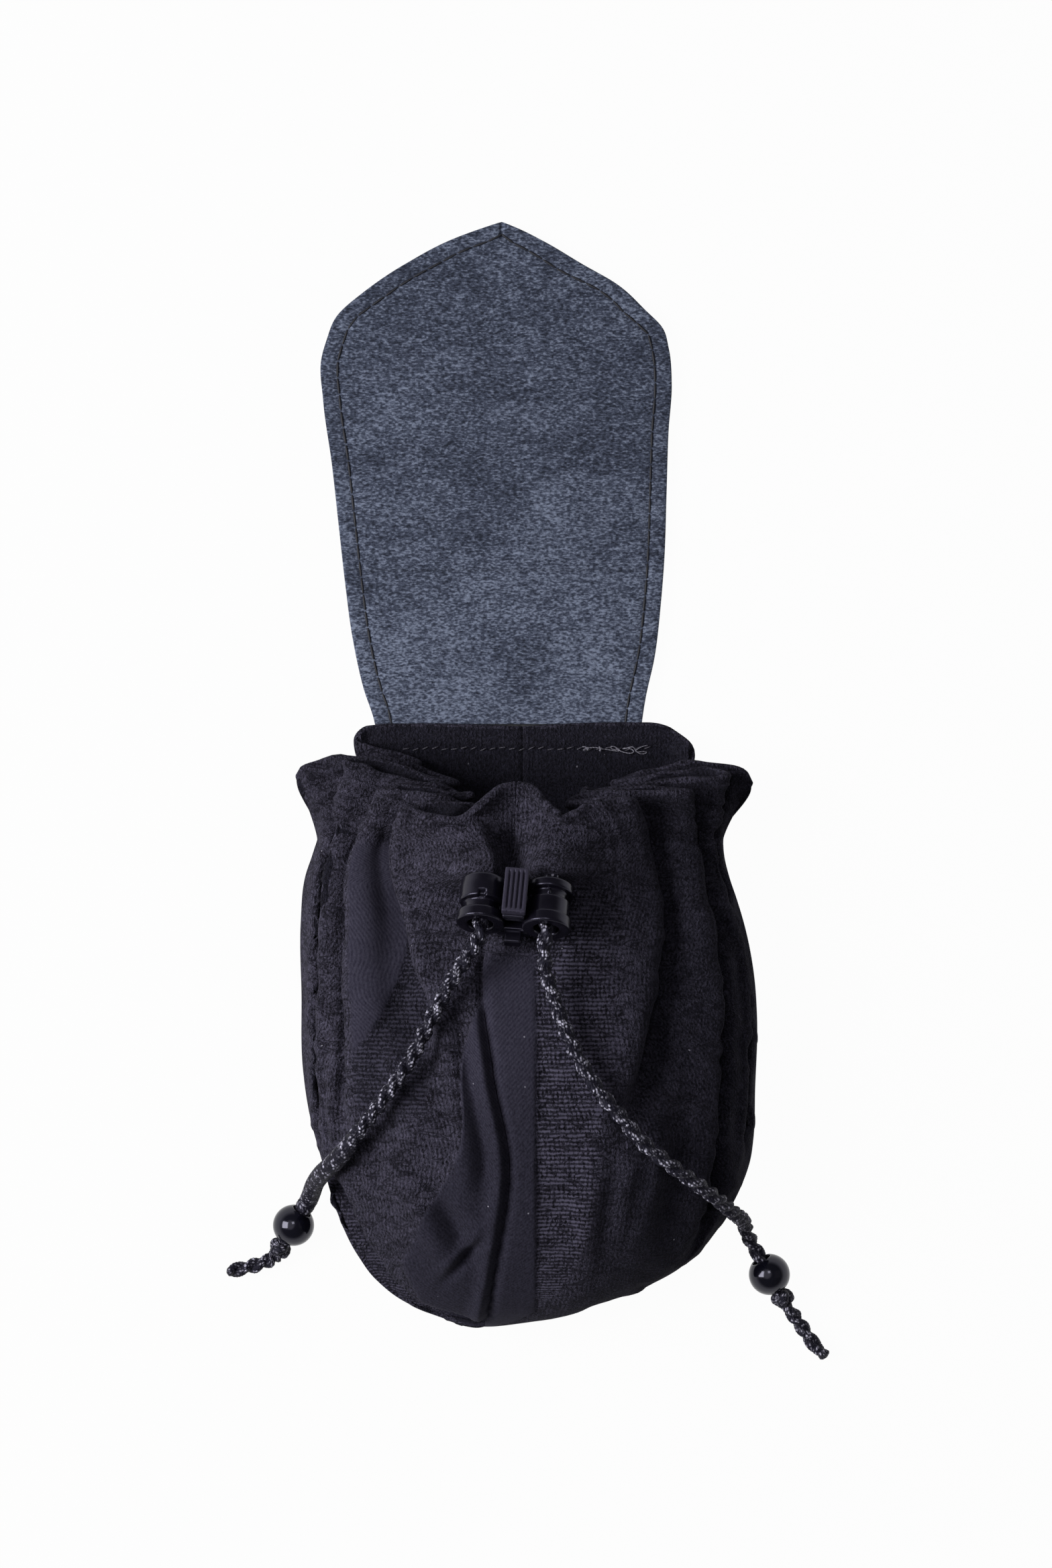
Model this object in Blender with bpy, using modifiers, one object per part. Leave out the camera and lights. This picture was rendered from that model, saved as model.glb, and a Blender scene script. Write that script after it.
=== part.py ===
"""Drawstring dice bag with a leather flap, lying on its back with the flap opened out.

Metres, +Z up. The origin is on the table under the middle of the bag, and +Y runs from
the foot of the bag through its mouth to the tip of the flap.
"""

import math

import bmesh
import bpy
from mathutils import Matrix, Vector

# Cloth bag: four panels of velvet, sewn at two centre seams and round a U-shaped edge
BAG_HALF_WIDTH = 0.0578
FOOT_Y = -0.0765
FOOT_TUCK = 0.0022
FOOT_SHIFT = -0.006
FOOT_SHIFT_POWER = 5
SIDE_SWING = 0.002
SWING_START_Y = -0.015
SWING_LENGTH = 0.045
FOOT_ROUNDNESS = 2.6
FOOT_FALL = 2.4
BELLY_Y = -0.018
BELLY_HEIGHT = 0.046
NECK_Y = 0.047
NECK_HEIGHT = 0.033
NECK_PINCH = 0.0065
PINCH_SPAN = 0.013
LIP_Y = 0.055
LIP_HEIGHT = 0.041
LIP_PEAK = 0.0055
LIP_PEAK_X = -0.005
LIP_PEAK_SPAN = 0.007
LIP_DIP = 0.0035
LIP_DIP_X = 0.009
LIP_DIP_SPAN = 0.006
RIM_Y = 0.0748
CORNER_Y = 0.068
CORNER_ANGLE = 0.35
CORNER_POWER = 6
SEAM_HEIGHT = 0.0075
SEAM_SHARE = -0.1
CLOTH = 0.0016
SEAM_GAP = 0.0003
SEAM_TURN = 0.0005
SEAM_LEAN = 0.0001
CORNER_TRIM = 0.1
CORNER_EASE = 0.0007
CORNER_SPAN = 0.15
SIDE_FULLNESS = 0.83
CROWN_FULLNESS = 0.9
BACK_FLAT_SHARE = 0.6
BACK_FLAT_COLUMNS = 0.45
HEEL_LENGTH = 0.015
ROOT_MARGIN = 0.001
ROOT_RAMP = 0.007

# Gathers from left to right: share of the half width at the neck and where each runs out
PLEAT_WIDTH = 0.085
PLEAT_FADE = 1.3
PLEAT_NECK_SHARES = (-0.70, -0.87, -0.97, 0.64, 0.89, 0.98)
PLEAT_END_SHARES = (-0.45, -0.80, -0.95, 0.42, 0.86, 0.97)
PLEAT_END_Y = (-0.010, -0.030, -0.040, -0.022, -0.050, -0.040)
PLEAT_DEPTHS = (0.0070, 0.0080, 0.0045, 0.0070, 0.0080, 0.0040)

# Drawstring and the casing tape that it runs in
CORD_DIAMETER = 0.0037
CORD_STEP = 0.0045
RING_HALF_WIDTH = 0.027
RING_HALF_HEIGHT = 0.0125
RING_CLEARANCE = 0.0004
RING_OPEN_ANGLE = math.radians(28)
TAPE_WIDTH = 0.012
TAPE_THICKNESS = 0.0008
TAPE_CLEARANCE = 0.0006
BUTTONHOLE_Y = 0.0455
BUTTONHOLE_CLEARANCE = 0.0014
BUTTONHOLE_DEPTH = 0.0128
BUTTONHOLE_TURN = math.radians(40)

# Leather flap, lined with suede, folded at the rim and again half way up
FLAP_X = -0.0068
FLAP_HINGE_Y = 0.077
FLAP_CREASE_Y = 0.139
FLAP_WIDEST_Y = 0.165
FLAP_TIP_Y = 0.2033
FLAP_ROOT_HALF_WIDTH = 0.0336
FLAP_HALF_WIDTH = 0.044
FLAP_SHOULDER = 0.019
FLAP_TIP_RUN = 0.021
FLAP_TIP_RISE = 0.0085
FLAP_SEWN_DEPTH = 0.010
LEATHER = 0.0012
SUEDE = 0.0008
SUEDE_SETBACK = 0.002
LAYER_GAP = 0.0003
FOLD_GAP = 0.0003

# Twin-barrel cord lock with a spring button between the barrels
LOCK_X = -0.0033
LOCK_Y = 0.0315
LOCK_TILT = math.radians(27)
LOCK_YAW = math.radians(-5)
LOCK_SEAT_GAP = 0.0003
BARREL_LENGTH = 0.0145
BARREL_OFFSET = 0.008
RING_RADIUS = 0.0056
DRUM_RADIUS = 0.0051
GROOVE_RADIUS = 0.0044
GROOVE_WIDTH = 0.0023
BORE_RADIUS = 0.0031
LEFT_GROOVE_Y = -0.0009
RIGHT_GROOVE_Y = 0.0035
RIGHT_LOWER_RING = 0.0043
RING_BEVEL = 0.0005
BRIDGE_BACK = 0.0061
BRIDGE_TOP = 0.0005
BRIDGE_HALF_WIDTH = 0.0042
BRIDGE_SETBACK = 0.0006
WEB_HALF_WIDTH = 0.0021
WEB_REACH = 0.0018
WEB_HEIGHT = 0.0034
WEB_LIFT = 0.0004
LOCK_FLOOR = 0.001
RUNNING_GAP = 0.0003
SLOT_GAP = 0.00045
BUTTON_TRAVEL = 0.002
STEM_HALF_WIDTH = 0.0017
STEM_HALF_LENGTH = 0.0047
BUTTON_HALF_WIDTH = 0.0029
BUTTON_HALF_LENGTH = 0.0062
BUTTON_TOP = 0.0074
BUTTON_HEAD = 0.0023
NECK_BLOCK = 0.002
RIB_GROOVES = 4
RIB_GROOVE_WIDTH = 0.0005
RIB_GROOVE_DEPTH = 0.0006
RIB_FRAME = 0.0006
FINGER_WIDTH = 0.0016
FINGER_HEIGHT = 0.0017
FINGER_REACH = 0.002
GRIP_GAP = 0.00035
SPRING_WIRE = 0.00036
SPRING_RADIUS = 0.00072
SPRING_TURNS = 6
SPRING_BORE_CLEARANCE = 0.00035
SPRING_ROOF = 0.0022

# Beads and stopper knots at the ends of the cord
BEAD_RADIUS = 0.0052
BEAD_CLEARANCE = 0.0006
KNOT_RADIUS = 0.0033
KNOT_HALF_LENGTH = 0.0022
KNOT_CLEARANCE = 0.0003
LEFT_BEAD = Vector((-0.0593, -0.0503, BEAD_RADIUS))
RIGHT_BEAD = Vector((0.0607, -0.0627, BEAD_RADIUS))
LEFT_BEAD_AXIS = Vector((0.5, 0.84, 0.2)).normalized()
RIGHT_BEAD_AXIS = Vector((-0.483, 0.875, 0.14)).normalized()
LEFT_BEAD_RUN = 0.0025
RIGHT_BEAD_RUN = 0.005

# Routes of the free cords from the lock to the beads, then from the knots to the cut ends
LEFT_ROUTE = (
    (-0.0141, 0.0204, 0.0508),
    (-0.0165, 0.0167, 0.0493),
    (-0.0189, 0.0130, 0.0478),
    (-0.0219, 0.0074, 0.0466),
    (-0.0248, 0.0016, 0.0461),
    (-0.0285, -0.0056, 0.0459),
    (-0.0330, -0.0124, 0.0450),
    (-0.0375, -0.0187, 0.0430),
    (-0.0418, -0.0243, 0.0399),
    (-0.0458, -0.0297, 0.0356),
    (-0.0488, -0.0330, 0.0311),
    (-0.0508, -0.0350, 0.0269),
    (-0.0521, -0.0367, 0.0221),
    (-0.0532, -0.0384, 0.0171),
    (-0.0540, -0.0402, 0.0126),
    (-0.0547, -0.0421, 0.0090),
)
LEFT_TAIL = (
    (-0.0674, -0.0602, 0.0024),
    (-0.0705, -0.0611, 0.0020),
    (-0.0735, -0.0618, 0.0020),
    (-0.0764, -0.0626, 0.0020),
)
RIGHT_ROUTE = (
    (0.0039, 0.0185, 0.0516),
    (0.0046, 0.0142, 0.0500),
    (0.0061, 0.0094, 0.0488),
    (0.0081, 0.0035, 0.0484),
    (0.0123, -0.0058, 0.0488),
    (0.0166, -0.0128, 0.0487),
    (0.0214, -0.0186, 0.0480),
    (0.0280, -0.0263, 0.0465),
    (0.0351, -0.0322, 0.0438),
    (0.0423, -0.0376, 0.0390),
    (0.0458, -0.0405, 0.0353),
    (0.0492, -0.0437, 0.0295),
    (0.0516, -0.0460, 0.0235),
    (0.0532, -0.0476, 0.0174),
    (0.0540, -0.0490, 0.0126),
    (0.0547, -0.0512, 0.0090),
)
RIGHT_TAIL = (
    (0.0677, -0.0742, 0.0024),
    (0.0702, -0.0780, 0.0020),
    (0.0727, -0.0814, 0.0020),
    (0.0754, -0.0840, 0.0020),
)

# Faceting
FRONT_COLUMNS = 23
FRONT_ROWS = 19
FRILL_ROWS = 4
FOOT_SPREAD = 0.6
BACK_COLUMNS = 10
BACK_ROWS = 15
ROUND_STEPS = 28
TAPE_SIDES = 40
RING_POINTS = 15
CURVE_STEPS = 24
BEAD_STEPS = 12
KNOT_STEPS = 8
ROOT_STEPS = 2
NECK_STEPS = 8
TIP_STEPS = 18
COIL_STEPS = 10
HALVINGS = 40
TINY = 0.00001


def clear_scene():
    for thing in list(bpy.data.objects):
        bpy.data.objects.remove(thing, do_unlink=True)


def new_collection(name):
    collection = bpy.data.collections.new(name)
    bpy.context.scene.collection.children.link(collection)
    return collection


def finish_material(name, hex_colour, roughness, metallic=0.0):
    """A Principled material from an sRGB hex colour."""
    channels = [int(hex_colour[i:i + 2], 16) / 255 for i in (0, 2, 4)]
    linear = [c / 12.92 if c <= 0.04045 else ((c + 0.055) / 1.055) ** 2.4 for c in channels]
    material = bpy.data.materials.new(name)
    material.use_nodes = True
    shader = material.node_tree.nodes["Principled BSDF"]
    shader.inputs["Base Color"].default_value = (*linear, 1.0)
    shader.inputs["Roughness"].default_value = roughness
    shader.inputs["Metallic"].default_value = metallic
    return material


def add_part(name, data, material, parent=None):
    part = bpy.data.objects.new(name, data)
    data.materials.append(material)
    PARTS.objects.link(part)
    part.parent = parent
    return part


def add_cutter(name, mesh, parent=None):
    cutter = bpy.data.objects.new(name, mesh)
    cutter.hide_render = True
    cutter.display_type = "WIRE"
    CUTTERS.objects.link(cutter)
    cutter.parent = parent
    return cutter


def add_frame(name, matrix):
    frame = bpy.data.objects.new(name, None)
    PARTS.objects.link(frame)
    frame.matrix_world = matrix
    return frame


def boolean(part, cutter, operation):
    step = part.modifiers.new(f"{operation.lower()}_{cutter.name}", "BOOLEAN")
    step.operation = operation
    step.object = cutter


def box_mesh(name, low, high):
    """A box from its lowest to its highest corner."""
    low, high = Vector(low), Vector(high)
    bm = bmesh.new()
    size = Matrix.Diagonal((*(high - low), 1.0))
    bmesh.ops.create_cube(bm, size=1.0, matrix=Matrix.Translation((low + high) / 2) @ size)
    mesh = bpy.data.meshes.new(name)
    bm.to_mesh(mesh)
    bm.free()
    return mesh


def rod_mesh(name, radius, length, matrix):
    """A round rod whose middle and direction come from the matrix."""
    bm = bmesh.new()
    bmesh.ops.create_cone(bm, cap_ends=True, segments=ROUND_STEPS, radius1=radius,
                          radius2=radius, depth=length, matrix=matrix)
    mesh = bpy.data.meshes.new(name)
    bm.to_mesh(mesh)
    bm.free()
    return mesh


def turned_mesh(name, profile, closed):
    """A profile of (radius, height) points to carry round the local Z axis, top to bottom outside."""
    bm = bmesh.new()
    verts = [bm.verts.new((radius, 0.0, height)) for radius, height in profile]
    for first, second in zip(verts, verts[1:] + verts[:1] if closed else verts[1:]):
        bm.edges.new((first, second))
    mesh = bpy.data.meshes.new(name)
    bm.to_mesh(mesh)
    bm.free()
    return mesh


def turn(part):
    screw = part.modifiers.new("turned", "SCREW")
    screw.axis = "Z"
    screw.steps = screw.render_steps = ROUND_STEPS
    screw.use_merge_vertices = True
    screw.merge_threshold = TINY


def smooth_points(route, step):
    """Points a step apart along the Catmull-Rom curve through the route's own points."""
    ends = [2 * route[0] - route[1]] + list(route) + [2 * route[-1] - route[-2]]
    fine = []
    for a, b, c, d in zip(ends, ends[1:], ends[2:], ends[3:]):
        for i in range(CURVE_STEPS):
            t = i / CURVE_STEPS
            fine.append(0.5 * (2 * b + (c - a) * t + (2 * a - 5 * b + 4 * c - d) * t ** 2
                               + (3 * b - a - 3 * c + d) * t ** 3))
    fine.append(route[-1])
    runs = [(second - first).length for first, second in zip(fine, fine[1:])]
    count = max(2, round(sum(runs) / step))
    spacing = sum(runs) / count
    points, travelled = [fine[0]], 0.0
    for start, end, run in zip(fine, fine[1:], runs):
        while len(points) < count and travelled + run >= spacing * len(points):
            share = (spacing * len(points) - travelled) / run
            points.append(start.lerp(end, share))
        travelled += run
    points.append(fine[-1])
    return points


def add_tube(name, points, diameter, material, parent=None, resolution=2):
    """A round cord or wire along points, with closed ends."""
    curve = bpy.data.curves.new(name, "CURVE")
    curve.dimensions = "3D"
    spline = curve.splines.new("POLY")
    spline.points.add(len(points) - 1)
    for spot, point in zip(spline.points, points):
        spot.co = (*point, 1.0)
    curve.bevel_depth = diameter / 2
    curve.bevel_resolution = resolution
    curve.use_fill_caps = True
    return add_part(name, curve, material, parent)


def section_centre(y):
    """The lower half of the bag swings to the right, and its foot leans to the left."""
    run = min(1.0, max(0.0, (SWING_START_Y - y) / SWING_LENGTH))
    return FOOT_SHIFT * max(0.0, y / FOOT_Y) ** FOOT_SHIFT_POWER + SIDE_SWING * math.sin(math.pi * run)


def half_width(y):
    """Half the bag's width: drawn in at the neck, round at the foot."""
    if y < 0:
        return BAG_HALF_WIDTH * math.sqrt(max(0.0, 1 - (y / FOOT_Y) ** FOOT_ROUNDNESS))
    return BAG_HALF_WIDTH - NECK_PINCH * math.exp(-((y - NECK_Y) / PINCH_SPAN) ** 2)


def front_height(y):
    """Height of the front's crown: full at the belly, low at the neck, flared at the lip."""
    foot_end = FOOT_Y + FOOT_TUCK
    if y < BELLY_Y:
        share = min(1.0, (BELLY_Y - y) / (BELLY_Y - foot_end))
        return SEAM_HEIGHT + (BELLY_HEIGHT - SEAM_HEIGHT) * math.sqrt(1 - share ** FOOT_FALL)
    if y < NECK_Y:
        share = (y - BELLY_Y) / (NECK_Y - BELLY_Y)
        return BELLY_HEIGHT + (NECK_HEIGHT - BELLY_HEIGHT) * share ** 2
    return NECK_HEIGHT + (LIP_HEIGHT - NECK_HEIGHT) * (y - NECK_Y) / (LIP_Y - NECK_Y)


def share_angle(share):
    """The angle round the front section at which x is this share of the half width."""
    return math.acos(math.copysign(abs(share) ** (1 / SIDE_FULLNESS), share))


def lip_y(angle):
    """The front's top edge: high at the side seams, with a peak and a dip near the middle."""
    side = min(angle, math.pi - angle)
    middle = math.cos(angle) * BAG_HALF_WIDTH
    peak = LIP_PEAK * math.exp(-((middle - LIP_PEAK_X) / LIP_PEAK_SPAN) ** 2)
    dip = LIP_DIP * math.exp(-((middle - LIP_DIP_X) / LIP_DIP_SPAN) ** 2)
    return LIP_Y + (CORNER_Y - LIP_Y) * math.exp(-(side / CORNER_ANGLE) ** 2) + peak - dip


def pleat_depth(angle, y):
    """How far the gathers draw the front in here: valleys that run out below the neck."""
    total = 0.0
    pleats = zip(PLEAT_NECK_SHARES, PLEAT_END_SHARES, PLEAT_END_Y, PLEAT_DEPTHS)
    for neck_share, end_share, end_y, depth in pleats:
        run = min(1.0, max(0.0, (y - end_y) / (NECK_Y - end_y)))
        centre = share_angle(end_share + (neck_share - end_share) * run)
        total += depth * run ** PLEAT_FADE * math.exp(-((angle - centre) / PLEAT_WIDTH) ** 2)
    return total


def front_point(angle, y):
    """A point on the front: a rounded section, drawn in along its normal by the gathers."""
    width = half_width(y)
    rise = max(TINY, front_height(y) - SEAM_HEIGHT)
    x_share = math.copysign(abs(math.cos(angle)) ** SIDE_FULLNESS, math.cos(angle))
    z_share = max(0.0, math.sin(angle)) ** CROWN_FULLNESS
    normal = Vector((math.copysign(abs(x_share) ** (2 / SIDE_FULLNESS - 1), x_share) / width, 0.0,
                     z_share ** (2 / CROWN_FULLNESS - 1) / rise)).normalized()
    base = Vector((section_centre(y) + width * x_share, y,
                   SEAM_HEIGHT + SEAM_GAP / 2 + SEAM_TURN + rise * z_share))
    return base - pleat_depth(angle, y) * normal


def turn_in(point, side, at_side, at_foot, corner, drop):
    """The cloth's last half millimetre at the U-shaped seam turns straight towards the seam.

    Where the side seam runs into the foot, the edge eases away from the seam again.
    """
    point.z -= math.copysign(CORNER_EASE, drop) * math.exp(-(corner / CORNER_SPAN) ** 2)
    if at_side:
        point.x -= side * SEAM_LEAN
    if at_foot:
        point.y += SEAM_LEAN
    if at_side or at_foot:
        point.z += drop
    return point


def front_row_y(v, angle):
    """The y of a row: the frill's rows follow the lip, the rest crowd towards the foot."""
    frill = FRILL_ROWS / (FRONT_ROWS - 1)
    if v <= frill:
        top = lip_y(angle)
        return top + (NECK_Y - top) * v / frill
    return NECK_Y + (FOOT_Y + FOOT_TUCK - NECK_Y) * math.sin((v - frill) / (1 - frill) * math.pi / 2)


def front_panel_point(side):
    """Surface of one front panel: u from the side seam to the centre seam, v from lip to foot."""
    def point(u, v):
        at_side, at_foot = u < 0.5 / FRONT_COLUMNS, v > 1 - 0.5 / FRONT_ROWS
        corner = math.hypot(u, 1 - v)
        u = max(0.0, (u * FRONT_COLUMNS - 1) / (FRONT_COLUMNS - 1))
        v = min(1.0, v * FRONT_ROWS / (FRONT_ROWS - 1))
        outer = 0.0 if side > 0 else math.pi
        seam_y = front_row_y(v, share_angle(SEAM_SHARE))
        inner = share_angle(SEAM_SHARE + side * SEAM_GAP / 2 / half_width(seam_y))
        spread = max(0.0, (v - FOOT_SPREAD) / (1 - FOOT_SPREAD)) ** 2
        even_share = side + (SEAM_SHARE + side * SEAM_GAP / 2 / half_width(seam_y) - side) * u
        angle = (outer + (inner - outer) * u) * (1 - spread) + share_angle(even_share) * spread
        spot = front_point(angle, front_row_y(v, angle))
        return turn_in(spot, side, at_side, at_foot, corner, -SEAM_TURN)
    return point


def root_edge():
    """The y from which the back lies on the flap's root, just short of the root's edge."""
    return FLAP_HINGE_Y - FLAP_SEWN_DEPTH - ROOT_MARGIN


def back_floor(y):
    """Underside of the back: flat on the table, lifted over the flap's root and at the foot."""
    seat = LEATHER + LAYER_GAP
    lift = min(1.0, max(0.0, 1 + (y - root_edge()) / ROOT_RAMP))
    foot_end = FOOT_Y + FOOT_TUCK
    heel = min(1.0, max(0.0, 1 - (y - foot_end) / HEEL_LENGTH))
    return seat * lift + (SEAM_HEIGHT - SEAM_GAP / 2 - SEAM_TURN) * (1 - math.sqrt(1 - heel ** 2))


def back_row_y(v, rim):
    """The y of a row: two rows at the step over the flap's root, the rest crowd to the foot."""
    stops = (rim, root_edge(), root_edge() - ROOT_RAMP)
    place = v * (BACK_ROWS - 1)
    if place <= 1:
        return stops[0] + (stops[1] - stops[0]) * place
    if place <= 2:
        return stops[1] + (stops[2] - stops[1]) * (place - 1)
    share = (place - 2) / (BACK_ROWS - 3)
    return stops[2] + (FOOT_Y + FOOT_TUCK - stops[2]) * math.sin(share * math.pi / 2)


def back_panel_point(side):
    """Surface of one back panel: flat in the middle, turned up at the side like a tray."""
    def point(u, v):
        at_side, at_foot = u > 1 - 0.5 / BACK_COLUMNS, v > 1 - 0.5 / BACK_ROWS
        corner = math.hypot(1 - u, 1 - v)
        u = min(1.0, u * BACK_COLUMNS / (BACK_COLUMNS - 1))
        v = min(1.0, v * BACK_ROWS / (BACK_ROWS - 1))
        flat = BACK_FLAT_COLUMNS
        turn_angle = max(0.0, (u - flat) / (1 - flat)) * math.pi / 2
        edge_share = BACK_FLAT_SHARE + (1 - BACK_FLAT_SHARE) * math.sin(turn_angle)
        rim = RIM_Y - (RIM_Y - CORNER_Y) * edge_share ** CORNER_POWER if u > flat else RIM_Y
        y = back_row_y(v, rim)
        width = half_width(y)
        seam = SEAM_SHARE * width + side * SEAM_GAP / 2
        across = seam + (side * BACK_FLAT_SHARE * width - seam) * u / flat
        if u > flat:
            across = side * edge_share * width
        floor = back_floor(y)
        z = floor + (SEAM_HEIGHT - SEAM_GAP / 2 - SEAM_TURN - floor) * (1 - math.cos(turn_angle))
        spot = Vector((section_centre(y) + across, y, z))
        return turn_in(spot, side, at_side, at_foot, corner, SEAM_TURN)
    return point


def add_panel(name, point, columns, rows, seam_u, outward, material):
    """A cloth panel: a grid laid on a surface, then given the cloth's thickness inwards.

    The cloth is trimmed thin at the corner where the side seam runs into the foot.
    """
    bm = bmesh.new()
    bmesh.ops.create_grid(bm, x_segments=columns, y_segments=rows, size=0.5)
    bm.verts.index_update()
    foot_corner = Vector((seam_u - 0.5, 0.5, 0.0))
    corner = min(bm.verts, key=lambda vert: (vert.co - foot_corner).length).index
    for vert in bm.verts:
        vert.co = point(vert.co.x + 0.5, vert.co.y + 0.5)
    bm.normal_update()
    if sum((face.normal * face.calc_area() for face in bm.faces), Vector()).dot(outward) < 0:
        bmesh.ops.reverse_faces(bm, faces=bm.faces)
    mesh = bpy.data.meshes.new(name)
    bm.to_mesh(mesh)
    bm.free()
    mesh.shade_smooth()
    panel = add_part(name, mesh, material)
    full = panel.vertex_groups.new(name="full_thickness")
    full.add(range(len(mesh.vertices)), 1.0, "REPLACE")
    full.add([corner], CORNER_TRIM, "REPLACE")
    cloth = panel.modifiers.new("cloth", "SOLIDIFY")
    cloth.thickness = CLOTH
    cloth.offset = -1.0
    cloth.vertex_group = full.name
    return panel


def lock_matrix():
    """Frame of the lock: local Y along the barrels towards the mouth, local Z out of the bag."""
    top_edge = BARREL_LENGTH / 2 - BRIDGE_SETBACK
    seat_y = LOCK_Y + top_edge * math.cos(LOCK_TILT) - BRIDGE_BACK * math.sin(LOCK_TILT)
    height = (front_height(seat_y) + SEAM_GAP / 2 + SEAM_TURN + LOCK_SEAT_GAP
              + top_edge * math.sin(LOCK_TILT) + BRIDGE_BACK * math.cos(LOCK_TILT))
    place = Matrix.Translation((LOCK_X, LOCK_Y, height))
    return place @ Matrix.Rotation(-LOCK_TILT, 4, "X") @ Matrix.Rotation(LOCK_YAW, 4, "Z")


def cord_lift():
    """The fingers press each cord towards the roof of its bore."""
    return BORE_RADIUS - CORD_DIAMETER / 2 - GRIP_GAP


def lock_point(x, y, z):
    return lock_matrix() @ Vector((x, y, z))


def buttonhole(side):
    """Middle of the buttonhole that lets one end of the cord out of the casing."""
    inlet = lock_point(side * BARREL_OFFSET, BARREL_LENGTH / 2, cord_lift())
    share = (inlet.x - section_centre(BUTTONHOLE_Y)) / half_width(BUTTONHOLE_Y)
    return front_point(share_angle(share), BUTTONHOLE_Y)


def add_bag(velvet):
    """Front and back panels, with the two buttonholes cut in the front."""
    for side, word in ((-1, "left"), (1, "right")):
        front = add_panel(f"front_panel_{word}", front_panel_point(side), FRONT_COLUMNS, FRONT_ROWS,
                          0.0, Vector((0, 0, 1)), velvet)
        add_panel(f"back_panel_{word}", back_panel_point(side), BACK_COLUMNS, BACK_ROWS,
                  1.0, Vector((0, 0, -1)), velvet)
        place = Matrix.Translation(buttonhole(side)) @ Matrix.Rotation(BUTTONHOLE_TURN, 4, "X")
        radius = CORD_DIAMETER / 2 + BUTTONHOLE_CLEARANCE
        hole = rod_mesh("buttonhole", radius, BUTTONHOLE_DEPTH, place)
        boolean(front, add_cutter(f"buttonhole_{word}", hole), "DIFFERENCE")


def ring_centre_z():
    return CLOTH + RING_CLEARANCE + CORD_DIAMETER / 2 + RING_HALF_HEIGHT


def add_casing(cotton):
    """Casing tape: an oval band just inside the drawstring's loop."""
    inset = CORD_DIAMETER / 2 + TAPE_CLEARANCE
    size = Matrix.Diagonal((RING_HALF_WIDTH - inset, RING_HALF_HEIGHT - inset, TAPE_WIDTH, 1.0))
    place = Matrix.Translation((0, NECK_Y, ring_centre_z())) @ Matrix.Rotation(math.pi / 2, 4, "X")
    bm = bmesh.new()
    bmesh.ops.create_cone(bm, cap_ends=False, segments=TAPE_SIDES, radius1=1.0, radius2=1.0, depth=1.0,
                          matrix=place @ size)
    mesh = bpy.data.meshes.new("casing_tape")
    bm.to_mesh(mesh)
    bm.free()
    mesh.shade_smooth()
    band = add_part("casing_tape", mesh, cotton)
    thickness = band.modifiers.new("tape", "SOLIDIFY")
    thickness.thickness = TAPE_THICKNESS
    thickness.offset = -1.0


def add_drawstring(cord):
    """The loop in the casing, from the middle of one barrel round the neck to the other."""
    def end(side):
        lift = cord_lift()
        inside = lock_point(side * BARREL_OFFSET, SEAM_GAP / 2, lift)
        outside = lock_point(side * BARREL_OFFSET, BARREL_LENGTH / 2 + CORD_DIAMETER / 2, lift)
        under = buttonhole(side) - Vector((0, 0, CLOTH / 2))
        return [inside, inside.lerp(outside, 0.5), outside, under]
    ring = []
    for i in range(RING_POINTS):
        angle = math.pi / 2 + RING_OPEN_ANGLE + 2 * (math.pi - RING_OPEN_ANGLE) * i / (RING_POINTS - 1)
        ring.append(Vector((RING_HALF_WIDTH * math.cos(angle), NECK_Y,
                            ring_centre_z() + RING_HALF_HEIGHT * math.sin(angle))))
    route = end(-1) + ring + end(1)[::-1]
    add_tube("drawstring_loop", smooth_points(route, CORD_STEP), CORD_DIAMETER, cord)


def add_free_cord(word, side, route, bead, axis, run, tail, cord):
    """One end of the cord: out of its barrel, over the belly, through the bead to its cut end."""
    lift = cord_lift()
    inside = lock_point(side * BARREL_OFFSET, -SEAM_GAP / 2, lift)
    mouth = lock_point(side * BARREL_OFFSET, -BARREL_LENGTH / 2 - CORD_DIAMETER / 2, lift)
    reaches = (BEAD_RADIUS + run, BEAD_RADIUS, 0.0, -BEAD_RADIUS, -BEAD_RADIUS - KNOT_HALF_LENGTH,
               -BEAD_RADIUS - 2 * KNOT_HALF_LENGTH)
    straight = [bead + axis * reach for reach in reaches]
    points = [inside, inside.lerp(mouth, 0.5), mouth] + [Vector(p) for p in route] + straight
    points += [Vector(p) for p in tail]
    add_tube(f"{word}_cord", smooth_points(points, CORD_STEP), CORD_DIAMETER, cord)


def add_bead(word, bead, axis, resin, cord):
    """A round bead with a wide bore, and the knot that stops it."""
    bore = CORD_DIAMETER / 2 + BEAD_CLEARANCE
    start = math.asin(bore / BEAD_RADIUS)
    angles = [start + (math.pi - 2 * start) * i / BEAD_STEPS for i in range(BEAD_STEPS + 1)]
    sphere = [(BEAD_RADIUS * math.sin(a), BEAD_RADIUS * math.cos(a)) for a in angles]
    turned = axis.to_track_quat("Z", "Y").to_matrix().to_4x4()
    ball = add_part(f"{word}_bead", turned_mesh("bead", sphere, closed=True), resin)
    ball.matrix_world = Matrix.Translation(bead) @ turned
    turn(ball)
    inner = CORD_DIAMETER / 2 + KNOT_CLEARANCE
    arc = [math.pi * i / KNOT_STEPS for i in range(KNOT_STEPS + 1)]
    bulge = [(inner + (KNOT_RADIUS - inner) * math.sin(a), KNOT_HALF_LENGTH * math.cos(a)) for a in arc]
    seat = math.sqrt(BEAD_RADIUS ** 2 - bore ** 2) + KNOT_HALF_LENGTH + SEAM_GAP
    knot = add_part(f"{word}_knot", turned_mesh("knot", bulge, closed=True), cord)
    knot.matrix_world = Matrix.Translation(bead - axis * seat) @ turned
    turn(knot)


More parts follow.
